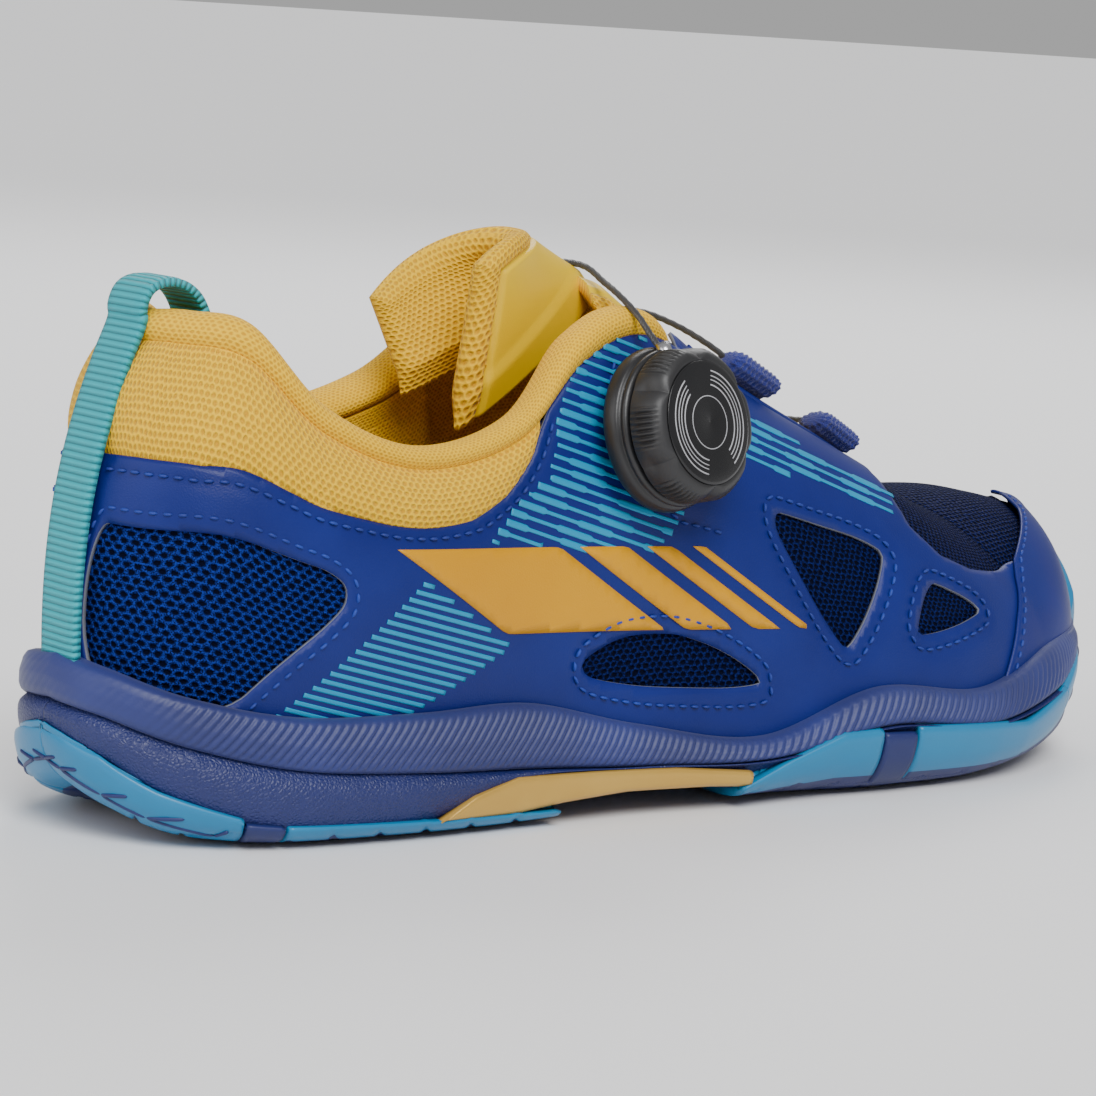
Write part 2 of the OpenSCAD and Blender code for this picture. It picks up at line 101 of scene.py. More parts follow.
def onRun(table, s):
    ends = np.concatenate([[2 * table[0] - table[1]], table, [2 * table[-1] - table[-2]]])
    i = np.clip(np.floor(s).astype(int), 0, len(table) - 2)
    return smooth(*(ends[i + k] for k in range(4)), s - i)


def station(s):
    # stations from the heel, whichever side s is on: 0 heel to 12 toe
    return np.abs((np.asarray(s, float) + 36) % 24 - 12)


def footLine(s):
    return onLoop(last["foot"], s)


def openingLine(s):
    q = station(s)
    outer = (s + 24) % 24 <= 12
    ring = onLoop(last["collar"], np.where(outer, q, 20 - q))
    return np.where((q > 10)[..., None], onRun(last["ridge"], np.clip(q - 10, 0, 2)), ring)


def outward(s):
    # level direction square to the foot line
    t = footLine(s + .01) - footLine(s - .01)
    n = np.stack([t[..., 1], -t[..., 0], 0 * t[..., 0]], -1)
    return n / np.linalg.norm(n, axis=-1, keepdims=True)


def skin(s, v):
    # from the foot line (v 0) to the opening (v 1): a mix of a straight line and a quarter
    # arc, swollen outwards by a half sine
    s, v = np.broadcast_arrays(np.asarray(s, float), np.asarray(v, float))
    k = onRun(last["round"], station(s))
    a, c = footLine(s), openingLine(s)
    level = (1 - k) * v + k * (1 - np.cos(np.pi / 2 * v))
    rise = (1 - k) * v + k * np.sin(np.pi / 2 * v)
    swell = onRun(last["swell"], station(s)) * np.sin(np.pi * v)
    return a + (c - a) * np.stack([level, level, rise], -1) + outward(s) * swell[..., None]


def skinNormal(s, v):
    # cross product of the two tangents of the skin
    s, v = np.broadcast_arrays(np.asarray(s, float), np.asarray(v, float))
    n = np.cross(skin(s + .01, v) - skin(s - .01, v), skin(s, v + .005) - skin(s, v - .005))
    return n / np.maximum(np.linalg.norm(n, axis=-1, keepdims=True), 1e-9)


def layer(s, v, d):
    # the skin moved out by d
    return skin(s, v) + skinNormal(s, v) * np.asarray(d, float)[..., None]


def riseTo(s, z):
    # how far up the skin a height lies, by a few Newton steps
    v = np.full(np.broadcast(s, z).shape, .2)
    for _ in range(8):
        v = np.clip(v + (z - skin(s, v)[..., 2]) / (openingLine(s) - footLine(s))[..., 2], .001, 1)
    return v


def sideSpot(x, z, inner=False):
    # station and rise of the skin's point at a distance from the heel and a height, on the outer
    # or the inner side, by Newton steps
    s = np.interp(x, last["foot"][:13, 0], np.arange(13.0))
    s = 24 - s if inner else s
    v = np.full(s.shape, .45)
    for _ in range(16):
        p = skin(s, v)
        a, b = (skin(s + .01, v) - p) / .01, (skin(s, v + .01) - p) / .01
        det = a[..., 0] * b[..., 2] - a[..., 2] * b[..., 0]
        ex, ez = x - p[..., 0], z - p[..., 2]
        s = s + np.clip((ex * b[..., 2] - ez * b[..., 0]) / det, -.8, .8)
        v = np.clip(v + np.clip((a[..., 0] * ez - a[..., 2] * ex) / det, -.2, .2), .001, 1)
    return s, v


def metres(p):
    q = np.asarray(p, float).copy()
    q[..., :2] -= last["middle"]
    return q / 1000


# ---- meshes from grids of points ----
def gridQuads(rows, cols, closeRows=False, closeCols=False):
    # corner indices of a grid's cells, wrapped where a direction closes
    i = np.arange(rows if closeRows else rows - 1)[:, None]
    j = np.arange(cols if closeCols else cols - 1)[None, :]
    i2, j2 = (i + 1) % rows, (j + 1) % cols
    return np.stack(np.broadcast_arrays(i * cols + j, i * cols + j2, i2 * cols + j2,
                                        i2 * cols + j), -1).reshape(-1, 4)


def turnedOut(points, faces):
    # reverses the faces of a closed piece whose signed volume, the sum of a . (b x c), is negative
    p = points - points.mean(0)
    volume = 0.0
    for f in faces:
        for k in range(1, f.shape[1] - 1):
            volume += (p[f[:, 0]] * np.cross(p[f[:, k]], p[f[:, k + 1]])).sum()
    return faces if volume >= 0 else [f[:, ::-1] for f in faces]


def buildMesh(name, points, faces, uv=None, slots=(), faceSlot=None):
    # points in mm, faces as one array of index rows or a list of such arrays
    faces = turnedOut(points, faces if isinstance(faces, list) else [faces])
    corners = np.concatenate([f.reshape(-1) for f in faces]).astype(np.int32)
    sizes = np.concatenate([np.full(len(f), f.shape[1]) for f in faces]).astype(np.int32)
    mesh = bpy.data.meshes.new(name)
    mesh.vertices.add(len(points))
    mesh.vertices.foreach_set("co", metres(points).astype(np.float32).ravel())
    mesh.loops.add(len(corners))
    mesh.loops.foreach_set("vertex_index", corners)
    mesh.polygons.add(len(sizes))
    mesh.polygons.foreach_set("loop_start", np.concatenate([[0], np.cumsum(sizes)[:-1]]).astype(np.int32))
    mesh.polygons.foreach_set("loop_total", sizes)
    if faceSlot is not None:
        mesh.polygons.foreach_set("material_index", np.asarray(faceSlot, np.int32))
    mesh.polygons.foreach_set("use_smooth", np.full(len(sizes), True))
    if uv is not None:
        layerUv = mesh.uv_layers.new(name="skinMap")
        layerUv.data.foreach_set("uv", uv[corners].astype(np.float32).ravel())
    mesh.update(calc_edges=True)
    mesh.validate()
    for m in slots:
        mesh.materials.append(m)
    piece = bpy.data.objects.new(name, mesh)
    bpy.context.scene.collection.objects.link(piece)
    return piece


def rimEdges(faces):
    # the edges that only one face uses, in that face's own direction
    a = faces.reshape(-1)
    b = np.roll(faces, -1, axis=1).reshape(-1)
    key = np.minimum(a, b) * 10000000 + np.maximum(a, b)
    _, first, count = np.unique(key, return_index=True, return_counts=True)
    once = first[count == 1]
    return a[once], b[once]


def shell(name, outer, inner, faces, uv, slots, rimSlot=0, faceSlot=None):
    # two sheets with the same faces, joined along their free edges
    n = len(outer)
    a, b = rimEdges(faces)
    rim = np.stack([b, a, a + n, b + n], -1)
    back = faces[:, ::-1] + n
    points = np.concatenate([outer, inner])
    slotOf = np.concatenate([np.zeros(len(faces), int) if faceSlot is None else faceSlot,
                             np.zeros(len(back), int), np.full(len(rim), rimSlot)])
    return buildMesh(name, points, [faces, back, rim], np.concatenate([uv, uv]), slots, slotOf)


# the skin's flat map: mm per station and mm per whole rise
flatScale = np.array([27.5, 66.0])


def flatMap(s, v):
    # a nearly true-length plane map of the skin, in mm
    return np.stack([s, v], -1) * flatScale


def pathDistance(points, path, closed=True):
    # distance from each point to a polyline, and which side of a closed one it lies on
    a = path if closed else path[:-1]
    b = np.roll(path, -1, axis=0) if closed else path[1:]
    d = b - a
    w = points[:, None] - a[None]
    t = np.clip((w * d).sum(-1) / np.maximum((d * d).sum(-1), 1e-9), 0, 1)
    dist = np.linalg.norm(w - d * t[..., None], axis=-1).min(1)
    if not closed:
        return dist
    y, y0, y1 = points[:, None, 1], a[None, :, 1], b[None, :, 1]
    crossX = a[None, :, 0] + (y - y0) / np.where(y1 == y0, 1e-9, y1 - y0) * d[None, :, 0]
    inside = (((y0 > y) != (y1 > y)) & (points[:, None, 0] < crossX)).sum(1) % 2 == 1
    return np.where(inside, dist, -dist)


def roundedOutline(corners, rounding=.3, times=3):
    # cuts the corners off a polygon again and again until it is a smooth outline
    p = np.array(corners, float)
    for k in range(times):
        cut = rounding if k == 0 else .25
        q = np.roll(p, -1, axis=0)
        p = np.stack([p + (q - p) * cut, q - (q - p) * cut], 1).reshape(-1, 2)
    return p


def densePath(path, step, closed=True):
    # points a step apart along a polyline
    p = np.concatenate([path, path[:1]]) if closed else np.asarray(path, float)
    run = np.concatenate([[0], np.cumsum(np.linalg.norm(np.diff(p, axis=0), axis=1))])
    n = max(2, int(round(run[-1] / step)))
    at = np.linspace(0, run[-1], n + 1)[: -1 if closed else None]
    return np.stack([np.interp(at, run, p[:, k]) for k in range(p.shape[1])], -1)


def cutSheet(outline, windows=(), cell=1.2):
    # a triangle mesh of the flat map inside an outline and outside its windows
    rings = [densePath(flatMap(*np.array(r).T), cell) for r in [outline, *windows]]
    lo, hi = rings[0].min(0), rings[0].max(0)
    x, y = np.meshgrid(np.arange(lo[0], hi[0], cell), np.arange(lo[1], hi[1], cell))
    x[::2] += cell / 2
    inner = np.stack([x.ravel(), y.ravel()], -1)
    keep = pathDistance(inner, rings[0]) > cell * .45
    for r in rings[1:]:
        keep &= pathDistance(inner, r) < -cell * .45
    edges, start = [], 0
    for r in rings:
        i = start + np.arange(len(r))
        edges.append(np.stack([i, np.roll(i, -1)], -1))
        start += len(r)
    points = np.concatenate([*rings, inner[keep]])
    out = delaunay_2d_cdt([Vector(p) for p in points], np.concatenate(edges).tolist(), [], 0, 1e-4)
    flat = np.array([(p.x, p.y) for p in out[0]])
    tris = np.array([f for f in out[2] if len(f) == 3])
    middle = flat[tris].mean(1)
    keep = pathDistance(middle, rings[0]) > 0
    for r in rings[1:]:
        keep &= pathDistance(middle, r) < 0
    tris = tris[keep]
    a, b, c = (flat[tris[:, k]] for k in range(3))
    turn = (b[:, 0] - a[:, 0]) * (c[:, 1] - a[:, 1]) - (b[:, 1] - a[:, 1]) * (c[:, 0] - a[:, 0])
    tris = np.where((turn < 0)[:, None], tris[:, ::-1], tris)
    used, tris = np.unique(tris, return_inverse=True)
    flat = flat[used]
    return *(flat / flatScale).T, tris.reshape(-1, 3), flat


def trueLength(points):
    # lengths along rows and columns of a grid, as its map in mm
    du = np.linalg.norm(np.diff(points, axis=0), axis=-1).mean(1)
    dv = np.linalg.norm(np.diff(points, axis=1), axis=-1).mean(0)
    u = np.concatenate([[0], np.cumsum(du)])
    v = np.concatenate([[0], np.cumsum(dv)])
    return np.stack(np.meshgrid(u, v, indexing="ij"), -1)


def sheetGrid(name, outer, inner, slots, colSlot=None):
    # a wall between two grids of points; colSlot gives each column of faces its material
    rows, cols = outer.shape[:2]
    return shell(name, outer.reshape(-1, 3), inner.reshape(-1, 3), gridQuads(rows, cols),
                 trueLength(outer).reshape(-1, 2), slots,
                 faceSlot=None if colSlot is None else np.tile(colSlot, rows - 1))


def stitchRow(points, normals, length=1.9, gap=.9, width=.62, height=.42):
    # capsule stitches laid end to end along a path: returns their points and faces
    run = np.concatenate([[0], np.cumsum(np.linalg.norm(np.diff(points, axis=0), axis=1))])
    n = max(1, int(run[-1] / (length + gap)))
    at = (np.arange(n) + .5) * run[-1] / n
    pick = lambda a, t: np.stack([np.interp(t, run, a[:, k]) for k in range(3)], -1)
    mid, tip = pick(points, at), pick(points, np.minimum(at + .4, run[-1]))
    along = tip - pick(points, at - .4)
    along /= np.maximum(np.linalg.norm(along, axis=1, keepdims=True), 1e-9)
    up = pick(normals, at)
    up -= along * (up * along).sum(1, keepdims=True)
    up /= np.maximum(np.linalg.norm(up, axis=1, keepdims=True), 1e-9)
    across = np.cross(up, along)
    t = np.linspace(-1, 1, 6)
    fat = np.sqrt(np.clip(1 - np.abs(t) ** 3, .02, 1))
    a = np.linspace(0, 2 * np.pi, 7)[:-1]
    x = np.repeat(t * length / 2, 6)
    y = (fat[:, None] * np.cos(a) * width / 2).ravel()
    z = (fat[:, None] * np.sin(a) * height - (1 - fat[:, None]) * .25).ravel()
    p = (mid[:, None] + along[:, None] * x[None, :, None] + across[:, None] * y[None, :, None]
         + up[:, None] * z[None, :, None])
    body = gridQuads(6, 6, closeCols=True)
    caps = np.array([[5, 4, 3, 2, 1, 0], [30, 31, 32, 33, 34, 35]])
    shift = (np.arange(n) * 36)[:, None, None]
    return (p.reshape(-1, 3), (body[None] + shift).reshape(-1, 4),
            (caps[None] + shift).reshape(-1, 6))


def joined(name, parts, slots):
    # one mesh from parts that are each points, body faces and cap faces
    shift = np.cumsum([0] + [len(q[0]) for q in parts])
    body, caps = (np.concatenate([q[i] + k for q, k in zip(parts, shift)]) for i in (1, 2))
    return buildMesh(name, np.concatenate([q[0] for q in parts]), [body, caps], None, slots)


def threadPiece(name, rows, slots):
    # joins several rows of stitches into one mesh
    return joined(name, [stitchRow(*r) for r in rows], slots)


def skinPath(outline, d=.1, closed=True, step=.5):
    # a path on the skin through (station, rise) corners, with its normals
    flat = densePath(flatMap(*np.array(outline, float).T), step, closed)
    s, v = (flat / flatScale).T
    if closed:
        s, v = np.append(s, s[0]), np.append(v, v[0])
    return layer(s, v, np.full(len(s), d)), skinNormal(s, v)


def grown(outline, by):
    # an outline moved outwards in the flat map by a distance in mm
    p = flatMap(*np.array(outline, float).T)
    t = np.roll(p, -1, axis=0) - np.roll(p, 1, axis=0)
    n = np.stack([t[:, 1], -t[:, 0]], -1) / np.maximum(np.linalg.norm(t, axis=1, keepdims=True), 1e-9)
    area = (p[:, 0] * np.roll(p[:, 1], -1) - p[:, 1] * np.roll(p[:, 0], -1)).sum()
    q = p + n * by * np.sign(area)
    return q / flatScale


def mirrorSide(outline):
    return [[24 - s, v] for s, v in outline][::-1]


# ---- materials ----
def socketGroup(name, inputs, outputs):
    # a node group whose inputs, with their defaults, and outputs are all plain values
    g = bpy.data.node_groups.new(name, "ShaderNodeTree")
    for label, value in inputs.items():
        socket = g.interface.new_socket(name=label, in_out="INPUT", socket_type="NodeSocketFloat")
        socket.default_value = value
    for label in outputs:
        g.interface.new_socket(name=label, in_out="OUTPUT", socket_type="NodeSocketFloat")
    return g, g.nodes.new("NodeGroupInput"), g.nodes.new("NodeGroupOutput")


def wire(tree, kind, values=(), **props):
    # one node: its properties, then its sockets, each a value or another node's socket
    node = tree.nodes.new(kind)
    for k, v in props.items():
        setattr(node, k, v)
    for k, v in (values.items() if isinstance(values, dict) else enumerate(values)):
        if v is None:
            continue
        if isinstance(v, bpy.types.NodeSocket):
            tree.links.new(v, node.inputs[k])
        else:
            node.inputs[k].default_value = v
    return node


def math(tree, op, a, b=None, c=None, clamp=False):
    return wire(tree, "ShaderNodeMath", [a, b, c], operation=op, use_clamp=clamp).outputs[0]


def makeGrainGroup():
    # moulded or leather grain: fine cells and a slow mottle, on Object coordinates in mm
    g, i, o = socketGroup("mouldGrain", {"Scale": 1.0, "Cells": .5}, ["Height", "Mottle"])
    at = wire(g, "ShaderNodeTexCoord").outputs["Object"]
    big = wire(g, "ShaderNodeVectorMath", {0: at, 3: 1000.0}, operation="SCALE").outputs[0]
    pos = wire(g, "ShaderNodeVectorMath", {0: big, 3: i.outputs["Scale"]}, operation="SCALE").outputs[0]
    cell = wire(g, "ShaderNodeTexVoronoi", {"Vector": pos, "Scale": 1.0}, feature="DISTANCE_TO_EDGE")
    fine = wire(g, "ShaderNodeTexNoise", {"Vector": pos, "Scale": 2.2, "Detail": 4.0})
    slow = wire(g, "ShaderNodeTexNoise", {"Vector": big, "Scale": .045, "Detail": 3.0})
    edge = math(g, "MINIMUM", math(g, "MULTIPLY", cell.outputs[0], 3.0), 1.0)
    crease = math(g, "MULTIPLY", edge, i.outputs["Cells"])
    g.links.new(math(g, "ADD", crease, math(g, "MULTIPLY", fine.outputs[0], .5)), o.inputs[0])
    g.links.new(slow.outputs[0], o.inputs[1])
    return g


def makeWeaveGroup():
    # staggered knit cells on the piece's own map in mm: holes, yarn between them, fine fibre
    g, i, o = socketGroup("knitCells", {"Width": 2.6, "Height": 1.7, "Hole": .5},
                          ["Hole mask", "Relief", "Fibre"])
    at = wire(g, "ShaderNodeUVMap", uv_map="skinMap").outputs[0]
    wob = wire(g, "ShaderNodeTexNoise", {"Vector": at, "Scale": .35, "Detail": 2.0})
    sway = wire(g, "ShaderNodeVectorMath", {0: wob.outputs["Color"], 3: .9}, operation="SCALE").outputs[0]
    moved = wire(g, "ShaderNodeVectorMath", {0: sway, 1: at}, operation="ADD").outputs[0]
    xyz = wire(g, "ShaderNodeSeparateXYZ", [moved])
    row = math(g, "DIVIDE", xyz.outputs[1], i.outputs["Height"])
    odd = math(g, "MULTIPLY", math(g, "PINGPONG", math(g, "FLOOR", row), 1.0), .5)
    col = math(g, "ADD", math(g, "DIVIDE", xyz.outputs[0], i.outputs["Width"]), odd)
    u = math(g, "SUBTRACT", math(g, "FRACT", col), .5)
    v = math(g, "SUBTRACT", math(g, "FRACT", row), .5)
    vv = math(g, "MULTIPLY", math(g, "MULTIPLY", v, v), .8)
    far = math(g, "SQRT", math(g, "ADD", math(g, "MULTIPLY", u, u), vv))
    relief = wire(g, "ShaderNodeMapRange", {"Value": far, "From Min": .12, "From Max": i.outputs["Hole"]},
                  interpolation_type="SMOOTHSTEP").outputs[0]
    yarn = wire(g, "ShaderNodeTexNoise", {"Vector": at, "Scale": 3.2, "Detail": 3.0})
    g.links.new(math(g, "SUBTRACT", 1.0, relief), o.inputs[0])
    g.links.new(relief, o.inputs[1])
    g.links.new(yarn.outputs[0], o.inputs[2])
    return g


def makeLinesGroup():
    # parallel raised ribs on the piece's own map, at a pitch and a slant
    g, i, o = socketGroup("ribLines", {"Pitch": 1.6, "Slant": 0.0}, ["Rib"])
    at = wire(g, "ShaderNodeUVMap", uv_map="skinMap").outputs[0]
    xyz = wire(g, "ShaderNodeSeparateXYZ", [at])
    lean = math(g, "MULTIPLY", xyz.outputs[1], i.outputs["Slant"])
    run = math(g, "DIVIDE", math(g, "ADD", xyz.outputs[0], lean), i.outputs["Pitch"])
    wave = math(g, "ABSOLUTE", math(g, "SINE", math(g, "MULTIPLY", run, 3.14159)))
    g.links.new(wave, o.inputs[0])
    return g


groups = {"grain": makeGrainGroup(), "weave": makeWeaveGroup(), "lines": makeLinesGroup()}


class Finish:
    # one material: a Principled shader with constants on its own sockets
    def __init__(self, name, color, rough, **constants):
        self.mat = bpy.data.materials.new(name)
        self.mat.use_nodes = True
        self.tree = self.mat.node_tree
        self.shader = self.tree.nodes["Principled BSDF"]
        self.color = (*color, 1)
        self.shader.inputs["Base Color"].default_value = self.color
        self.shader.inputs["Roughness"].default_value = rough
        for k, v in constants.items():
            self.shader.inputs[k.replace("_", " ")].default_value = v
        self.mat.diffuse_color = self.color

    def group(self, kind, **values):
        node = wire(self.tree, "ShaderNodeGroup", node_tree=groups[kind])
        for k, v in values.items():
            node.inputs[k].default_value = v
        return node.outputs

    def tint(self, mask, other, low=0.0, high=1.0):
        # mixes the base colour towards another by a mask
        old = self.shader.inputs["Base Color"]
        m = wire(self.tree, "ShaderNodeMapRange",
                 {"Value": mask, "From Min": low, "From Max": high}).outputs[0]
        src = old.links[0].from_socket if old.links else self.color
        mix = wire(self.tree, "ShaderNodeMix", {0: m, 6: src, 7: (*other, 1)}, data_type="RGBA")
        self.tree.links.new(mix.outputs[2], old)

    def gloss(self, mask, low, high):
        m = wire(self.tree, "ShaderNodeMapRange", {"Value": mask, "To Min": low, "To Max": high}).outputs[0]
        self.tree.links.new(m, self.shader.inputs["Roughness"])

    def bump(self, height, distance, strength=1.0):
        # stacks a bump; distance in mm
        old = self.shader.inputs["Normal"]
        values = {"Height": height, "Distance": distance / 1000, "Strength": strength}
        if old.links:
            values["Normal"] = old.links[0].from_socket
        node = wire(self.tree, "ShaderNodeBump", values)
        self.tree.links.new(node.outputs[0], old)


colours = {
    "film": (.002, .009, .125), "filmWorn": (.004, .014, .16), "band": (.011, .018, .11),
    "meshYarn": (.008, .03, .27), "meshDark": (.0006, .0014, .010), "cyan": (.0, .16, .34),
    # the second yellow is painted shade for the knit's holes
    "cyanPrint": (.0, .23, .42), "yellow": (.86, .50, .0), "yellowHoleShade": (.44, .16, .0),
    "faceYellow": (.74, .48, .0), "gold": (.56, .25, .0), "shank": (.52, .31, .06),
    "tab": (.0, .36, .42), "royal": (.003, .010, .20), "thread": (.004, .02, .20),
    "rawEdge": (.14, .15, .19), "black": (.006, .006, .007), "ring": (.36, .36, .38),
}


def makeKnit(name, base, holeShade, width, height, depth):
    f = Finish(name, base, .82, Sheen_Weight=.08, Sheen_Roughness=.5, Specular_IOR_Level=.3)
    w = f.group("weave", Width=width, Height=height, Hole=.52)
    # the holes are tinted darker: painted shade in the knit's recesses
    f.tint(w["Hole mask"], holeShade, .15, 1.5)
    f.tint(w["Fibre"], tuple(min(1, c * 1.25) for c in base), .52, 1.1)
    f.bump(w["Fibre"], .12)
    f.bump(w["Relief"], depth)
    return f.mat


def makeMesh(name, yarn, hole, width, height):
    f = Finish(name, yarn, .6, Specular_IOR_Level=.06)
    w = f.group("weave", Width=width, Height=height, Hole=.5)
    f.tint(w["Fibre"], colours["meshDark"], .42, .62)
    f.tint(w["Hole mask"], hole, .1, .8)
    f.gloss(w["Relief"], .9, .55)
    f.bump(w["Fibre"], .2)
    f.bump(w["Relief"], .8)
    return f.mat


def makeFilm(name, base, worn, rough=.42):
    f = Finish(name, base, rough, Specular_IOR_Level=.3)
    g = f.group("grain", Scale=1.6, Cells=.25)
    f.tint(g["Mottle"], worn, .35, .75)
    f.gloss(g["Mottle"], rough - .05, rough + .1)
    f.bump(g["Height"], .06)
    return f.mat


def makeRubber(name, base, lighter, rough=.38, grain=1.1, depth=.05, cells=.2, **more):
    f = Finish(name, base, rough, **more)
    g = f.group("grain", Scale=grain, Cells=cells)
    f.tint(g["Mottle"], lighter, .4, .8)
    f.gloss(g["Mottle"], rough - .06, rough + .12)
    f.bump(g["Height"], depth)
    return f.mat


def makeRibbed(name, base, lighter, rough, pitch, slant, depth, grain=1.5, grooveShade=None):
    f = Finish(name, base, rough, Sheen_Weight=.1)
    r = f.group("lines", Pitch=pitch, Slant=slant)
    g = f.group("grain", Scale=grain, Cells=.2)
    f.tint(g["Mottle"], lighter, .35, .8)
    # the grooves between the ribs are tinted darker: painted shade in the grooves
    if grooveShade:
        f.tint(r["Rib"], grooveShade, .45, 0.0)
    f.bump(g["Height"], .05)
    f.bump(r["Rib"], depth)
    return f.mat


paint = {
    # each knit's second colour is painted shade for its holes
    "knit": makeKnit("yellowKnit", colours["yellow"], colours["yellowHoleShade"], 1.8, 1.2, .32),
    "knitFine": makeKnit("yellowKnitFine", colours["yellow"], colours["yellowHoleShade"], 1.05, .75, .14),
    "meshBig": makeMesh("navyMeshCoarse", colours["meshYarn"], colours["meshDark"], 2.2, 1.4),
    "meshFine": makeMesh("navyMeshFine", (.003, .010, .10), colours["meshDark"], 1.6, 1.0),
    "film": makeFilm("bondedFilm", colours["film"], colours["filmWorn"]),
    "print": makeFilm("cyanPrint", colours["cyanPrint"], (.0, .26, .46), .38),
    "bars": makeFilm("goldFilm", colours["gold"], (.60, .28, .0), .36),
    "faceYellow": makeFilm("glossYellowFace", colours["faceYellow"], (.78, .52, .0), .36),
    "cyan": makeRubber("cyanRubber", colours["cyan"], (.0, .185, .38), .34, 1.0, .03),
    # navy rubber of the spacers, also laid on the treads and along the heel's grooves as painted shade
    "cyanLine": makeRubber("navyRubberAndShade", (.006, .012, .09), (.01, .02, .12), .45),
    "foam": makeRubber("grainedFoam", (.009, .015, .095), (.014, .022, .125), .42, 1.3, .12, .9),
    "band": makeRibbed("ribbedBand", colours["band"], (.016, .028, .17), .5, 2.1, .75, 0.0, 1.6),
    "shank": makeRubber("goldShank", colours["shank"], (.57, .36, .08), .3, 1.4, .03, .2, Metallic=.35),
    # the webbing's third colour is painted shade in its grooves
    "tab": makeRibbed("turquoiseWebbing", colours["tab"], (.0, .37, .43), .6, 1.35, 0.0, .5, 2.0,
                      (.0, .15, .19)),
    "royal": makeRubber("royalBraid", colours["royal"], (.012, .035, .40), .62, 2.6, .3, .6,
                        Sheen_Weight=.3),
    "thread": makeRubber("blueThread", colours["thread"], (.01, .05, .38), .55, 3.0, .1),
    "rawEdge": makeRubber("rawCutEdge", colours["rawEdge"], (.14, .15, .19), .7, 2.0, .1),
    "dial": makeRubber("dialNylon", colours["black"], (.02, .02, .022), .33, 1.6, .03),
    "grip": makeRubber("dialRubber", (.014, .014, .015), (.022, .022, .024), .42, 1.8, .04),
    "face": makeRubber("dialFace", (.006, .006, .007), (.012, .012, .013), .16, .8, .01),
    "ring": makeRubber("greyRings", colours["ring"], (.5, .5, .52), .4, 1.5, .02),
    "steel": makeRubber("turnedSteel", (.55, .55, .57), (.62, .62, .63), .25, 2.0, .02, .1, Metallic=1.0),
    "spool": makeRubber("spoolNylon", (.08, .08, .09), (.12, .12, .13), .45),
    "cable": makeRibbed("coatedCable", (.035, .035, .04), (.06, .06, .065), .35, .8, 2.0, .12),
    # the linings' second colours are painted shade for their holes
    "lining": makeKnit("brushedLining", (.62, .36, .07), (.3, .14, .02), 1.4, 1.0, .2),
    "liningNavy": makeKnit("navyLining", (.02, .03, .12), (.004, .006, .03), 1.4, 1.0, .2),
    "board": makeRubber("fibreBoard", (.5, .38, .24), (.62, .48, .32), .85, 1.2, .12, .5),
    "cushion": makeRubber("softFoam", (.8, .55, .12), (.86, .62, .2), .9, 1.6, .25, 1.0),
    "stiffener": makeRubber("stiffSheet", (.24, .24, .26), (.3, .3, .32), .6),
}
print("materials made")


# ---- upper: outlines as [station, rise] ----
upper = {
    "filmEdge": [[0, 0], [11.2, 0], [11.3, .40], [11, .47], [10.6, .487], [10.1, .485], [9.7, .465],
                 [9.3, .455], [8.98, .48], [8.8, .56], [8.86, .68], [9.0, .8], [9.25, .92], [9.6, 1.0],
                 [7.45, 1.0], [7.3, .905],
                 [5.42, .905], [5.24, .87], [5.1, .82], [4.78, .745], [4.45, .706], [4.1, .70],
                 [3.4, .695], [2.72, .675], [1.7, .62], [0, .612]],
    "rearWindow": [[.3, .03], [.3, .455], [1.0, .455], [1.8, .468], [2.79, .515], [3.15, .515], [3.3, .46],
                   [3.16, .375], [2.81, .255], [2.2, .03]],
    "ovalWindow": [[5.42, .195], [5.7, .24], [6.1, .25], [6.6, .225], [7.1, .14], [7.0, .122],
                   [6.46, .125], [5.8, .145]],
    "largeWindow": [[7.4, .495], [7.7, .495], [8.36, .475], [8.36, .42], [7.86, .20], [7.74, .21],
                    [7.52, .36]],
    "smallWindow": [[8.7, .39], [8.85, .385], [9.24, .335], [9.12, .30], [8.48, .235], [8.46, .26]],
    "panelStitch": [[.4, .578], [1.7, .585], [2.72, .64], [3.4, .66], [4.1, .665], [4.52, .672],
                    [4.92, .725], [5.24, .80], [5.42, .86]],
    "dialStitch": [[6.36, .86], [6.12, .79], [6.02, .70], [6.1, .62], [6.3, .53], [6.6, .46], [6.95, .43]],
    "windowStitch": 2.4,
}
stripes = {
    # zones seen from the side, as [distance from the heel, height]
    "lower": {"edge": [[34.5, 24.1], [64.5, 49.3], [86.5, 35.3], [62, 23]], "slope": -.27,
              "pitch": 1.7, "fill": .52, "broken": 0.0},
    "upper": {"edge": [[79.7, 55.2], [84.9, 61], [95.8, 67.8], [100.9, 83.3], [108, 90], [113, 92.5],
                       [119, 94], [127, 93], [131, 86], [131, 74], [128, 64], [131.2, 59.1], [122, 51.4]],
              "slope": -.31, "pitch": 2.2, "fill": .62, "broken": 1.0},
    "front": {"edge": [[134, 88], [141, 84], [149, 79], [172, 69.5], [195.5, 60], [191.8, 55.4],
                       [171.7, 62.3], [164, 64.6], [146, 68.7], [134, 72]],
              "slope": -.36, "pitch": 1.95, "fill": .6, "broken": 1.0},
}
bars = {
    # slanted bars seen from the side: where each top edge starts and ends; all share one slant
    "tops": [[58, 98], [103, 115], [120, 126.5], [131.5, 134.5]], "height": 55.4, "fall": -.035,
    "slant": [27, -17.5], "raise": .3,
}


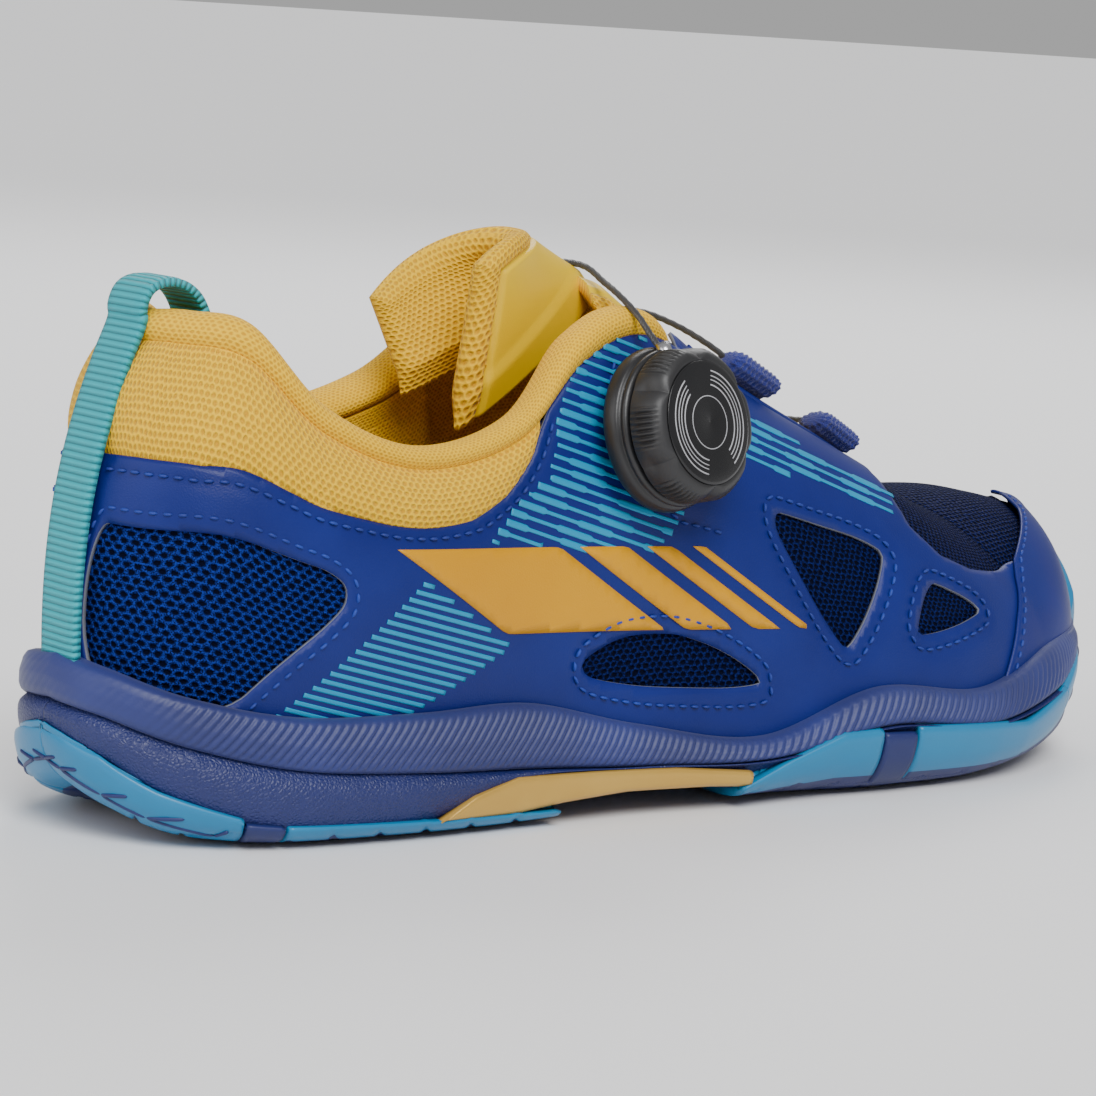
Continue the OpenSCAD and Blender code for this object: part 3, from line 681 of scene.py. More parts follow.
def filmSheet(name, outline, windows, stitchPaths, slots, d=0.0, thick=1.15, edgeDrop=.35, cell=1.25):
    # the skin cut to an outline, dipped along its stitches and rounded down at its edges
    s, v, tris, flat = cutSheet(outline, windows, cell)
    height = np.full(len(s), float(d))
    for ring in [outline, *windows]:
        gap = np.abs(pathDistance(flat, densePath(flatMap(*np.array(ring).T), 1.2)))
        height -= edgeDrop * np.exp(-(gap / .5) ** 2)
    for path, closed in stitchPaths:
        gap = np.abs(pathDistance(flat, densePath(flatMap(*np.array(path, float).T), 1.5, closed), closed))
        height -= .3 * np.exp(-(gap / 1.1) ** 2)
    outer = layer(s, v, height)
    inner = layer(s, v, np.full(len(s), d - thick))
    return shell(name, outer, inner, tris, flat, slots, rimSlot=1)


def buildUpperSide(sideName, flip):
    turn = mirrorSide if flip else (lambda x: [list(p) for p in x])
    windows = [turn(roundedOutline(upper[k]).tolist()) for k in
               ("rearWindow", "ovalWindow", "largeWindow", "smallWindow")]
    rows = [grown(w, upper["windowStitch"]) for w in windows]
    closed = [(r, True) for r in rows[1:]]
    opened = [(turn(upper["panelStitch"]), False)] + ([] if flip else [(upper["dialStitch"], False)])
    film = filmSheet("overlay" + sideName, turn(upper["filmEdge"]), windows, closed + opened,
                     [paint["film"], paint["rawEdge"]])
    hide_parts("overlay_" + sideName.lower())
    threads = [skinPath(r) for r in rows[1:]]
    # the rear window runs into the sole, so its row starts and ends there
    keep = rows[0][rows[0][:, 1] > .09]
    jump = np.argmax(np.linalg.norm(np.roll(keep, -1, axis=0) - keep, axis=1))
    threads.append(skinPath(np.roll(keep, -jump - 1, axis=0), closed=False))
    threads += [skinPath(p, closed=False) for p, _ in opened]
    seam = threadPiece("stitches" + sideName, threads, [paint["thread"]])
    return [film, seam]


def stripeLines(spec, seed, inner):
    # straight printed lines across a zone; each is cut into thick and thin stretches
    p = np.array(spec["edge"], float)
    along = np.array([1, spec["slope"]]) / np.hypot(1, spec["slope"])
    across = np.array([-along[1], along[0]])
    a, b = p, np.roll(p, -1, axis=0)
    rng = np.random.default_rng(seed)
    points, faces = [], []
    levels = np.arange((p @ across).min() + spec["pitch"] * .5, (p @ across).max(), spec["pitch"])
    for k, h in enumerate(levels):
        ha, hb = a @ across - h, b @ across - h
        hit = (ha > 0) != (hb > 0)
        t = (ha[hit] / (ha[hit] - hb[hit]))[:, None]
        x = np.sort((a[hit] + (b[hit] - a[hit]) * t) @ along)
        if len(x) < 2 or x[-1] - x[0] < 1.5:
            continue
        x0 = x[0] + rng.uniform(0, 1.2) * spec["broken"]
        x1 = x[-1] - rng.uniform(0, 2.4) * spec["broken"]
        n = max(3, int((x1 - x0) / .7))
        xs = np.linspace(x0, x1, n)
        cell = np.floor((xs + (k * 3.7) % 11) / 8.5).astype(int)
        half = spec["pitch"] * spec["fill"] / 2 * np.where((cell + k) % 2 == 0, 1, 1 - .45 * spec["broken"])
        wide = np.linspace(-1, 1, 4)
        grid = xs[:, None, None] * along + (h + wide[None, :, None] * half[:, None, None]) * across
        faces.append(gridQuads(n, 4) + sum(len(q) for q in points))
        points.append(grid.reshape(-1, 2))
    flat = np.concatenate(points)
    s, v = sideSpot(flat[:, 0], flat[:, 1], inner)
    return s, v, np.concatenate(faces)


def buildPrint(name, inner):
    zones = [stripeLines(spec, 7 + i, inner) for i, spec in enumerate(stripes.values())]
    shift = np.cumsum([0] + [len(q[0]) for q in zones])
    s, v = np.concatenate([q[0] for q in zones]), np.concatenate([q[1] for q in zones])
    faces = np.concatenate([q[2] + k for q, k in zip(zones, shift)])
    piece = shell(name, layer(s, v, np.full(len(s), .1)), layer(s, v, np.full(len(s), -.02)), faces,
                  flatMap(s, v), [paint["print"]])
    return [piece]


def buildBars(name, inner):
    # straight slanted bars that get narrower to the front
    made = []
    for i, (x0, x1) in enumerate(bars["tops"]):
        dx, dz = bars["slant"]
        top = [[x, bars["height"] + bars["fall"] * (x - 58)] for x in (x0, x1)]
        edge = densePath(np.array(top + [[x + dx, z + dz] for x, z in top[::-1]], float), 1.5)
        s, v = sideSpot(edge[:, 0], edge[:, 1], inner)
        bar = filmSheet(f"{name}{i + 1}", np.stack([s, v], -1).tolist(), [], [],
                        [paint["bars"], paint["bars"]], d=bars["raise"], thick=bars["raise"] + .02,
                        edgeDrop=.14, cell=1.6)
        made.append(bar)
    return made


def roofTop(s):
    # how high the outer mesh climbs: under the roll, then to the throat's edge
    q = station(s)
    t = np.clip((q - 7.25) / .4, 0, 1)
    return .93 + .07 * t * t * (3 - 2 * t)


def wallGrid(s0, s1, v0, v1, d, perStation=12, up=60):
    # a patch of a layer; v1 may be a function of the station
    s = np.linspace(s0, s1, int(abs(s1 - s0) * perStation) + 1)[:, None]
    top = v1(s) if callable(v1) else v1
    v = v0 + (top - v0) * np.linspace(0, 1, up)[None, :]
    s, v = np.broadcast_arrays(s, v)
    return layer(s, v, np.full(s.shape, d) if np.isscalar(d) else d(s, v))


def wallPiece(name, node, slotName, mats, s0, s1, v0, v1, inner, outer, **more):
    piece = sheetGrid(name, *(wallGrid(s0, s1, v0, v1, d, **more) for d in (outer, inner)), mats)
    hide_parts(node)
    return piece


def toeSheet(name, rear, v0, inner, outer, slots, rows=40, cols=90, rearInner=None):
    # a sheet over the toes, side to side over the ridge; rear gives its back edge's station
    w = np.linspace(v0, 2 - v0, cols)
    r = np.linspace(0, 1, rows)[:, None]
    up = np.where(w <= 1, w, 2 - w)[None, :]
    back = np.where(w[None, :] <= 1, rear(up), (rearInner or rear)(up))
    s = back + (12 - back) * r
    s = np.where(w[None, :] <= 1, s, 24 - s)
    up = np.broadcast_to(up, s.shape)
    grids = [layer(s, up, np.full(s.shape, d)) for d in (outer, inner)]
    for g in grids:
        g[-1] = (g[-1] + g[-1, ::-1]) / 2
    index = np.arange(rows * cols).reshape(rows, cols)
    index[-1] = np.minimum(index[-1], index[-1, ::-1])
    faces = index.reshape(-1)[gridQuads(rows, cols)]
    uv = trueLength(grids[0]).reshape(-1, 2)
    outerPts, innerPts = (g.reshape(-1, 3) for g in grids)
    return shell(name, outerPts, innerPts, faces, uv, slots)


made = []
for label, flip in (("Lateral", False), ("Medial", True)):
    made += buildUpperSide(label, flip)
made += buildPrint("printedLinesLateral", False) + buildPrint("printedLinesMedial", True)
made += buildBars("goldBarLateral", False) + buildBars("goldBarMedial", True)
print("films, prints and stitches made")

wall = {
    # inner and outer face of each layer, in mm out from the skin
    "mesh": [-2.35, -1.25], "lining": [-4.6, -3.7], "liner": [-3.6, -2.45], "toeLining": [-4.6, -3.65],
    "stiffener": [-3.55, -2.45], "cap": [.02, .7],
    # where the coarse mesh gives way to the fine, in metres, and where the toe pieces start
    "fineFrom": -.045, "toeFrom": 10, "puffFrom": 10.5,
}
for label, s0, s1 in (("Lateral", 0, 10), ("Medial", 14, 24)):
    low = label.lower()
    mesh = wallPiece("quarterMesh" + label, "quarter_" + low, "mesh_navy",
                     [paint["meshBig"], paint["meshFine"]], s0, s1, 0, roofTop, *wall["mesh"])
    centre = np.zeros(len(mesh.data.polygons) * 3)
    mesh.data.polygons.foreach_get("center", centre)
    front = centre.reshape(-1, 3)[:, 0] > wall["fineFrom"]
    mesh.data.polygons.foreach_set("material_index", front.astype(np.int32))
    lining = wallPiece("quarterLining" + label, "quarter_lining_" + low, "lining_fabric",
                       [paint["liningNavy"]], 4 if s0 == 0 else 14, 10 if s0 == 0 else 20, 0, .52,
                       *wall["lining"], up=30)
    liner = wallPiece("quarterInner" + label, "quarter_lining_" + low, "lining_fabric",
                      [paint["knitFine"]], 5.4 if s0 == 0 else 14, 10 if s0 == 0 else 18.6, .5, .93,
                      *wall["liner"], up=30)
    made += [mesh, lining, liner]
fromToe = lambda v: wall["toeFrom"] + 0 * v
vamp = toeSheet("vampMesh", fromToe, 0, *wall["mesh"], [paint["meshFine"]])
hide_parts("vamp_mesh")
vampLining = toeSheet("vampLining", fromToe, 0, *wall["toeLining"], [paint["liningNavy"]], rows=20, cols=50)
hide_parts("vamp_lining")
capEdge = {
    # the cap's rear edge: its station at each rise on the outer side, and as far from the heel
    # on the inner side
    "rise": [0, .1, .3, .485, .67, .85, 1], "station": [9.15, 9.25, 9.65, 10.15, 11.15, 11.65, 11.9],
    "inner": [9.15, 9.4, 10.4, 11.3, 11.8, 11.9, 11.9],
}
toeCap = toeSheet("toeCap", lambda v: np.interp(v, capEdge["rise"], capEdge["station"]), 0,
                  *wall["cap"], [paint["film"]], 50, 120,
                  lambda v: np.interp(v, capEdge["rise"], capEdge["inner"]))
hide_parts("toe_cap")
puff = toeSheet("toePuff", lambda v: wall["puffFrom"] + 0 * v, .1, *wall["stiffener"],
                [paint["stiffener"]], rows=16, cols=40)
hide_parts("toe_puff")
counter = wallPiece("heelCounter", "heel_counter", "stiffener", [paint["stiffener"]], -4, 4, 0, .5,
                    *wall["stiffener"], up=20)
v = np.linspace(.08, .80, 80)
rowsCap = []
for key, turn in (("station", 1), ("inner", -1)):
    s = np.interp(v, capEdge["rise"], capEdge[key]) + .1
    s = s if turn > 0 else 24 - s
    rowsCap.append((layer(s, v, np.full(80, .75)), skinNormal(s, v)))
capStitch = threadPiece("toeCapStitches", rowsCap, [paint["thread"]])
made += [vamp, vampLining, toeCap, puff, counter, capStitch]
print("mesh, linings and toe made")

# ---- padded collar ----
collar = {
    "panelEdge": [[0, .603], [1.7, .612], [2.72, .667], [3.4, .688], [4.1, .692], [4.45, .698],
                  [4.82, .738], [5.14, .812], [5.28, .868], [5.3, .915]],
    "panelPuff": 2.8, "puffRun": 3.6, "rollEnd": 7.35, "rollWide": 5.2, "rollMiddle": -3.7,
    "rollRise": .945, "liningEnd": 5.6, "liningRise": [.55, .905], "sockRise": [.02, .57],
}


def buildCollarPanel():
    # a padded panel that rises from its edge like a pillow
    right = np.array(collar["panelEdge"])
    edge = np.concatenate([right, (right * [-1, 1])[::-1][:-1]])
    s, v, tris, flat = cutSheet(edge.tolist(), [], 1.4)
    gap = np.abs(pathDistance(flat, densePath(flatMap(*edge.T), 1.2)))
    d = -.9 + collar["panelPuff"] * (1 - np.exp(-gap / collar["puffRun"]))
    piece = shell("collarPanel", layer(s, v, d), layer(s, v, np.full(len(s), -1.2)), tris, flat,
                  [paint["knit"]])
    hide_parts("collar_panel")
    return piece


def buildRoll():
    # a tube along the opening, open below where it is sewn between the panel and the lining
    e = collar["rollEnd"]
    s = np.concatenate([[-e], np.linspace(-e + .02, e - .02, 300), [e]])[:, None]
    a = np.linspace(-1.15, np.pi + 1.15, 40)[None, :]
    x = np.clip((e - np.abs(s)) / .4, 0, 1)
    fat = np.sqrt(1 - (1 - x) ** 2) * .92 + .08
    up = np.where(np.sin(a) > 0, 1.003 - collar["rollRise"], .055) * np.sin(a) * (.5 + .5 * fat)
    s, d, rise = np.broadcast_arrays(s, collar["rollMiddle"] + collar["rollWide"] * np.cos(a) * fat,
                                     collar["rollRise"] + up)
    core = layer(s, np.full(s.shape, collar["rollRise"] - .045),
                 collar["rollMiddle"] + (d - collar["rollMiddle"]) * .35)
    return sheetGrid("collarRoll", layer(s, rise, d), core, [paint["knitFine"]])


panel = buildCollarPanel()
roll = buildRoll()
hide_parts("collar_roll")
e, (v0, v1) = collar["liningEnd"], collar["liningRise"]
innerLining = sheetGrid(
    "collarLining", wallGrid(-e, e, v0, v1, lambda s, v: -7.5 - 1.2 * np.sin(np.pi * (v - v0) / .355)),
    wallGrid(-e, e, v0, v1, -9.6 + 1.3), [paint["knitFine"]])
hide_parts("collar_lining")
heelSock = sheetGrid("heelSock", *(wallGrid(-e, e, *collar["sockRise"], d, up=40) for d in (-4.8, -5.6)),
                     [paint["lining"]])
made += [panel, roll, innerLining, heelSock]

eyestay = {
    # stations it runs between, its rise and roll over the edge, then its profile across
    "stations": [7.62, 9.42], "rise": [.935, .07], "across": [0, .1, .6, 1], "out": [.05, .55, .5, -2.6],
    "thick": .7,
}
for label, sign in (("Lateral", 1), ("Medial", -1)):
    s = np.linspace(*eyestay["stations"], 60)
    s = s if sign > 0 else (24 - s)[::-1]
    a = np.linspace(0, 1, 14)
    rise = eyestay["rise"][0] + eyestay["rise"][1] * np.sin(a * np.pi * .62)
    d = np.interp(a, eyestay["across"], eyestay["out"])
    ss, rr = np.broadcast_arrays(s[:, None], rise[None, :])
    outer = layer(ss, np.minimum(rr, 1.0), np.broadcast_to(d, ss.shape))
    inner = layer(ss, np.minimum(rr, .985), np.broadcast_to(d - eyestay["thick"], ss.shape))
    stay = sheetGrid("eyestay" + label, outer, inner, [paint["film"]])
    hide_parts("eyestay_" + label.lower())
    made.append(stay)

tab = {"width": 11, "thick": 1.7, "loop": [[18.5, 97.5], [19.7, 100.3], [22.4, 101.6], [26, 101.4],
                                           [29.2, 99.4], [31.3, 96], [32.5, 92], [33, 88]]}
climb = skin(np.zeros(9), np.linspace(.12, .95, 9))[:, [0, 2]] - [1, 0]
line = densePath(onRun(np.concatenate([climb, tab["loop"]]), np.linspace(0, 16, 200)), .55, False)
t = np.gradient(line, axis=0)
t /= np.linalg.norm(t, axis=1, keepdims=True)
across = np.linspace(-1, 1, 13)
ridge = 1 - .12 * (np.abs(across) > .8)
out = line[:, None] + np.stack([-t[:, 1], t[:, 0]], -1)[:, None] * (tab["thick"] * ridge)[None, :, None]
side = np.broadcast_to(across * tab["width"] / 2, out.shape[:2])
put = lambda g: np.stack([g[..., 0], side, g[..., 1]], -1)
webbing = sheetGrid("pullTab", put(out), put(np.broadcast_to(line[:, None], out.shape)), [paint["tab"]])
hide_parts("heel_pull_tab")
made.append(webbing)
print("collar and tab made")


def tubeGrid(path, x, y):
    # rings carried along a path, x and y their offsets across and up, closed by fans at both ends
    t = np.gradient(path, axis=0)
    t /= np.linalg.norm(t, axis=1, keepdims=True)
    a = np.cross(t, [.2, .3, 1.0])
    a /= np.linalg.norm(a, axis=1, keepdims=True)
    b = np.cross(a, t)
    p = path[:, None] + a[:, None] * x[..., None] + b[:, None] * y[..., None]
    rows, cols = p.shape[:2]
    j, n = np.arange(cols), rows * cols
    k = (j + 1) % cols
    ends = [np.stack([np.full(cols, n), k, j], -1),
            np.stack([np.full(cols, n + 1), n - cols + j, n - cols + k], -1)]
    return (np.concatenate([p.reshape(-1, 3), path[[0, -1]]]), gridQuads(rows, cols, closeCols=True),
            np.concatenate(ends))


# ---- sole ----
sole = {"ribPitch": 1.9, "ribDepth": .40, "ribSlant": .75, "treadDepth": 1.1,
        "zigWidth": 17, "zigReach": 7, "grooveEvery": 11, "grooveHalf": .9}


def line1(name, s):
    return onRun(last[name], station(s))


def toeTrim(s):
    # how much closer to the foot line the sole's side runs round the toes
    return np.interp(station(s), [9, 10, 10.7, 12], [0, .8, 3.0, 3.0])


def besideSkin(s, z, out):
    # a point at height z moved level out of the shoe: from the skin, or below it from the foot line
    foot = footLine(s)
    v = riseTo(s, np.maximum(z, foot[..., 2] + .01))
    p = np.where((z > foot[..., 2])[..., None], skin(s, v), foot)
    p = p + outward(s) * out[..., None]
    p[..., 2] = z
    return p


def bandProfile(t):
    # how far the side stands out from the skin, from the groove (t 0) to the top edge (t 1)
    return np.interp(t, [0, .06, .2, .5, .8, .94, .99, 1], [4.3, 4.9, 5.2, 5.0, 4.2, 3.4, 2.6, 1.8])


def buildBand():
    # its rows run up along the slanted ribs, five to a rib; a rib's height is the sine of its phase
    # less .7, smaller at the heel and the toe
    loop = np.linspace(-6, 30, 3601)
    foot = footLine(loop)
    run = np.concatenate([[0], np.cumsum(np.linalg.norm(np.diff(foot, axis=0), axis=1))])
    run -= run[600]
    total = run[3000]
    count = round(total / sole["ribPitch"])
    phase = np.arange(count * 5)[:, None] / 5
    t = np.concatenate([np.linspace(0, 1, 20), [1.0, 1.0]])[None, :]
    z = np.full((len(phase), t.shape[1]), 20.0)
    for _ in range(4):
        s = np.interp(phase / count * total + (z - 20) * sole["ribSlant"], run, loop)
        z0, z1 = line1("groove", s), line1("bandTop", s)
        z = z0 + (z1 - z0) * t
    fade = np.clip((t - .05) / .1, 0, 1) * np.clip((.95 - t) / .08, 0, 1)
    heel = np.clip((station(s) - 1.4) / .9, .1, 1) * np.clip((10.6 - station(s)) / 1.6, .4, 1)
    rib = (np.abs(np.sin(np.pi * phase)) - .7) * sole["ribDepth"] * 1.5 * fade * heel
    out = np.maximum(bandProfile(t) - toeTrim(s), 1.1) + rib
    out[:, -2:] = .9, .2
    p = besideSkin(s, z, out)
    inner = besideSkin(s, z, np.full(z.shape, .15))
    rows, cols = z.shape
    uv = np.stack([phase * sole["ribPitch"] + 0 * z, z], -1).reshape(-1, 2)
    faces = gridQuads(rows, cols, closeRows=True)
    piece = shell("sidewallBand", p.reshape(-1, 3), inner.reshape(-1, 3), faces, uv, [paint["band"]])
    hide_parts("sidewall_band")
    return piece


def smoothProfile(points, n):
    # n points along a smooth curve through profile points: arrays shaped (stations, k, 3)
    k = points.shape[1]
    first, final = 2 * points[:, :1] - points[:, 1:2], 2 * points[:, -1:] - points[:, -2:-1]
    ends = np.concatenate([first, points, final], 1)
    x = np.linspace(0, k - 1, n)
    i = np.clip(np.floor(x).astype(int), 0, k - 2)
    f = (x - i)[None, :, None]
    a, b, c, d = (ends[:, i + j] for j in range(4))
    return (2 * b + (c - a) * f + (2 * a - 5 * b + 4 * c - d) * f ** 2
            + (3 * b - a - 3 * c + d) * f ** 3) / 2


def crossRows(half, n):
    # joins the outer side's half profiles to the inner side's across the underside
    a, b = half
    t = np.linspace(0, 1, n + 2)[1:-1][None, :, None]
    middle = a[:, -1:] + (b[:, -1:] - a[:, -1:]) * t
    return np.concatenate([a, middle, b[:, ::-1]], 1)


def midsoleHalf(s):
    # from the groove down the grained bulge to just inside the rubber
    g, z0 = line1("groove", s), line1("rubberTop", s)
    low = np.maximum(z0 - 2.5, line1("ground", s) + 1.6)
    zs = [g + .6, g - .2, g - (g - z0) * .25, g - (g - z0) * .55, z0 + .2, low]
    outs = [2.6, 3.5, 5.2, 5.6, 5.0, 3.2]
    pts = [besideSkin(s, z, np.maximum(o - toeTrim(s), .6)) for z, o in zip(zs, outs)]
    under = footLine(s) - outward(s) * 5
    under[..., 2] = line1("ground", s) + 2.6
    edge = footLine(s) + outward(s) * 1.0
    edge[..., 2] = line1("ground", s) + 2.4
    return smoothProfile(np.stack(pts + [edge, under], 1), 40)


def buildMidsole():
    s = np.linspace(0, 12, 260)
    low = crossRows((midsoleHalf(s), midsoleHalf(24 - s)), 8)
    bed = np.minimum(footLine(s)[:, 2] - .7, line1("groove", s))
    a = footLine(s) + outward(s) * 2.6
    b = footLine(24 - s) + outward(24 - s) * 2.6
    t = np.linspace(0, 1, low.shape[1])[None, :, None]
    top = a[:, None] + (b - a)[:, None] * t
    top[..., 2] = bed[:, None]
    piece = sheetGrid("midsole", low, top, [paint["foam"]])
    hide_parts("midsole")
    return piece


def treadCut(x, y):
    # zigzag grooves across the sole: distance to a triangle wave, repeated along the shoe
    wave = np.abs((y / sole["zigWidth"] + .25) % 1 - .5) * 2 * sole["zigReach"]
    gap = np.abs((x + wave) / sole["grooveEvery"] % 1 - .5) * sole["grooveEvery"]
    return np.clip(1 - gap / sole["grooveHalf"], 0, 1)


lips = {
    # per piece: stations, the lip's top edge at each, its paint and its slot
    "outsole_heel": [[0, .5, 1, 1.73, 2.52], [20.5, 19.2, 17, 11.4, 6.6], "cyan", "rubber_cyan"],
    "outsole_heel_spacer": [[2.56, 2.86], [5.6, 4.9], "cyanLine", "rubber_navy"],
    "outsole_heel_front": [[2.9, 3.4, 4.1, 4.8, 5.2], [4.9, 4.6, 4.0, 3.6, 3.4], "cyan", "rubber_cyan"],
    "outsole_forefoot_rear": [[6.75, 7.1, 7.55, 7.87], [4.9, 9.6, 14.6, 14.9], "cyan", "rubber_cyan"],
    "outsole_forefoot_spacer": [[7.9, 8.17], [14.0, 13.7], "cyanLine", "rubber_navy"],
    "outsole_forefoot_front": [[8.2, 8.6, 9.05, 9.35, 9.5, 10], [14.9, 14.3, 13.6, 12.9, 13.9, 18.0],
                               "cyan", "rubber_cyan"],
}


def treadShadeSlots(cols, side=20):
    # the side keeps the piece's colour; the tread under it gets the navy rubber as painted shade, standing
    # in for the shadow under the sole
    j = np.arange(cols - 1)
    return ((j >= side) & (j < cols - 1 - side)).astype(int)


def soleHalf(s, lip):
    # from the lip's top edge down the side, which rounds well inwards to the tread
    g = np.maximum(line1("ground", s), 0)
    pts = []
    for out, f in ((5.2, 1), (5.9, .95), (5.9, .8), (4.7, .5), (1.8, .22), (-3, .05), (-8, 0)):
        p = footLine(s) + outward(s) * (out - toeTrim(s) * (out > 0))[..., None]
        p[..., 2] = g + (lip - g) * f
        pts.append(p)
    return smoothProfile(np.stack(pts, 1), 34)


def buildSolePiece(name, spec):
    stations, heights, colour, slotName = spec
    s = np.linspace(stations[0], stations[-1], int((stations[-1] - stations[0]) * 26) + 3)
    lip = np.interp(s, stations, heights)
    low = crossRows((soleHalf(s, lip), soleHalf(24 - s, lip)), 60)
    centre = low.mean(1, keepdims=True)
    x, y, z = low[..., 0], low[..., 1], low[..., 2]
    near = np.clip((line1("ground", s)[:, None] + 4.5 - z) / 3, 0, 1)
    ends = np.clip(np.minimum(np.arange(len(s)), np.arange(len(s))[::-1]) / 2, 0, 1)[:, None]
    cut = treadCut(x, y) * near * ends * (0 if "spacer" in name else sole["treadDepth"])
    low[..., 2] = np.maximum(z + cut, .04)
    shrink = 2.2 * (low - centre) / np.maximum(np.linalg.norm(low - centre, axis=-1, keepdims=True), 1e-6)
    inner = low - shrink * [0, 1, 0]
    inner[..., 2] = np.maximum(low[..., 2] - cut + 1.9 * (low[..., 2] < lip[:, None] - 1), low[..., 2])
    look = name.replace("_", " ").title().replace(" ", "").replace("Outsole", "outsole")
    # the second slot's navy rubber on the tread is painted shade of the shadow under the sole
    piece = sheetGrid(look, low, inner, [paint[colour], paint["cyanLine"]],
                      treadShadeSlots(low.shape[1], 28 if name == "outsole_heel" else 20))
    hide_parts(name)
    return piece


shank = {
    # stations it spans, then heights of its side lip's top and bottom edges at stations
    "stations": [4.1, 6.8],
    "top": [[4.1, 4.4, 4.8, 5.5, 6.2, 7.0], [3.9, 8.0, 10.8, 10.4, 9.8, 7.6]],
    "low": [[4.1, 4.85, 5.25, 5.8, 6.5, 7.0], [3.5, 3.9, 5.0, 5.9, 5.6, 4.8]],
    "ribAt": 9, "ribHigh": 1.1, "thick": 1.2,
}


def buildShank():
    # a moulded plate across the arch: pointed side lips that thin out to the front
    s = np.linspace(*shank["stations"], 90)
    top, low = np.interp(s, *shank["top"]), np.interp(s, *shank["low"])
    halves = []
    for q in (s, 24 - s):
        rows = [(5.5, top), (6.25, top - .4), (6.35, (top + low) / 2), (5.8, low + .2),
                (3.5, low - .5), (-4, low - .2)]
        pts = []
        for out, z in rows:
            p = footLine(q) + outward(q) * out
            p[..., 2] = z
            pts.append(p)
        halves.append(smoothProfile(np.stack(pts, 1), 34))
    grid = crossRows(halves, 50)
    mid = np.abs(grid[..., 1])
    rib = shank["ribHigh"] * np.clip(1 - np.abs(mid - shank["ribAt"]) / 3, 0, 1)
    grid[..., 2] += rib * (grid[..., 2] < low[:, None] + 1)
    inner = grid.copy()
    inner[..., 2] += shank["thick"] * (grid[..., 2] < top[:, None] - 1.4)
    inner[..., 1] *= .965
    piece = sheetGrid("shankPlate", grid, inner, [paint["shank"]])
    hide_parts("shank_plate")
    return piece


bumper = {
    # stations and heights of its top edge; the guard over it, from its foot to its shoulders and peak
    "lip": [[10, 10.3, 10.6, 11, 12], [18.0, 20.9, 22.6, 23.0, 23.9]],
    "guardStations": [11.2, 13.2], "guardFoot": 22, "guardShoulder": 25, "guardPeak": 19,
    "guardOut": [[22, 30, 38, 44], [3.4, 3.2, 2.6, 1.6]],
}


def buildBumper():
    # the toe's sole piece, and its guard up the front of the toe
    s = np.linspace(10, 12, 60)
    lip = np.interp(s, *bumper["lip"])
    low = crossRows((soleHalf(s, lip), soleHalf(24 - s, lip)), 60)
    x, y, z = low[..., 0], low[..., 1], low[..., 2]
    near = np.clip((line1("ground", s)[:, None] + 4.5 - z) / 3, 0, 1)
    cut = treadCut(x, y) * near * sole["treadDepth"]
    low[..., 2] += cut
    inner = low.copy()
    inner[..., 1] *= .95
    inner[..., 0] -= 1.5
    inner[..., 2] += 1.6 * (low[..., 2] < lip[:, None] - 1)
    # the second slot's navy rubber on the tread is painted shade of the shadow under the sole
    piece = sheetGrid("toeBumper", low, inner, [paint["cyan"], paint["cyanLine"]], treadShadeSlots(low.shape[1]))
    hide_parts("toe_bumper")
    q = np.linspace(*bumper["guardStations"], 60)[:, None]
    r = np.linspace(0, 1, 34)[None, :]
    edge = 1 - np.abs(q - np.mean(bumper["guardStations"]))
    z0 = bumper["guardFoot"]
    z1 = bumper["guardShoulder"] + bumper["guardPeak"] * np.clip(edge * 2.2, 0, 1) ** .6
    zz = z0 + (z1 - z0) * r
    qq, zz = np.broadcast_arrays(q, zz)
    over = np.interp(zz, *bumper["guardOut"])
    edgeFall = np.clip(np.minimum(1 - r, .5) / .08, 0, 1) * np.clip(edge / .12, 0, 1)
    outer = besideSkin(qq, zz, .8 + (over - .8) * edgeFall)
    inside = besideSkin(qq, zz, np.full(zz.shape, .5))
    guard = sheetGrid("toeGuard", outer, inside, [paint["cyan"]])
    return [piece, guard]


grooveShadeLines = [
    # navy lines along the heel's side where its grooves run, painted shade of the grooves: [station,
    # height] of each end
    [[-.3, 15.0], [.35, 12.9]], [[.35, 12.9], [1.0, 9.4]], [[1.0, 9.4], [1.6, 6.0]],
    [[1.6, 6.0], [2.3, 2.9]], [[.35, 12.9], [.7, 13.6]], [[1.0, 9.4], [1.4, 10.0]],
    [[1.6, 6.0], [2.0, 6.4]], [[2.3, 2.9], [2.4, 4.2]],
]


def buildGrooveShade():
    # slim navy bars that stand just proud of the heel rubber, on both sides, as painted shade of the
    # grooves
    top = np.array(lips["outsole_heel"][1])
    parts = []
    for ends in grooveShadeLines:
        for sign in (1, -1):
            t = np.linspace(0, 1, 24)[:, None]
            s, z = (np.array(ends[0]) + (np.array(ends[1]) - ends[0]) * t).T
            g = np.maximum(line1("ground", s), 0)
            lip = np.interp(np.abs(s), lips["outsole_heel"][0], top)
            out = np.interp((z - g) / (lip - g), [0, .05, .22, .5, .8, .95], [-8, -3, 1.9, 4.8, 6.0, 6.0])
            s = s * sign
            p = footLine(s) + outward(s) * out[:, None]
            p[:, 2] = z
            fat = np.sqrt(np.clip(1 - (2 * t - 1) ** 8, .02, 1))
            parts.append(tubeGrid(p, fat * .42 * np.cos(np.linspace(0, 2 * np.pi, 9)[:-1]),
                                  fat * .42 * np.sin(np.linspace(0, 2 * np.pi, 9)[:-1])))
    lines = joined("heelGrooveShade", parts, [paint["cyanLine"]])
    return lines


made += [buildBand(), buildMidsole(), buildShank(), buildGrooveShade()] + buildBumper()
for name, spec in lips.items():
    made.append(buildSolePiece(name, spec))
print("sole made")


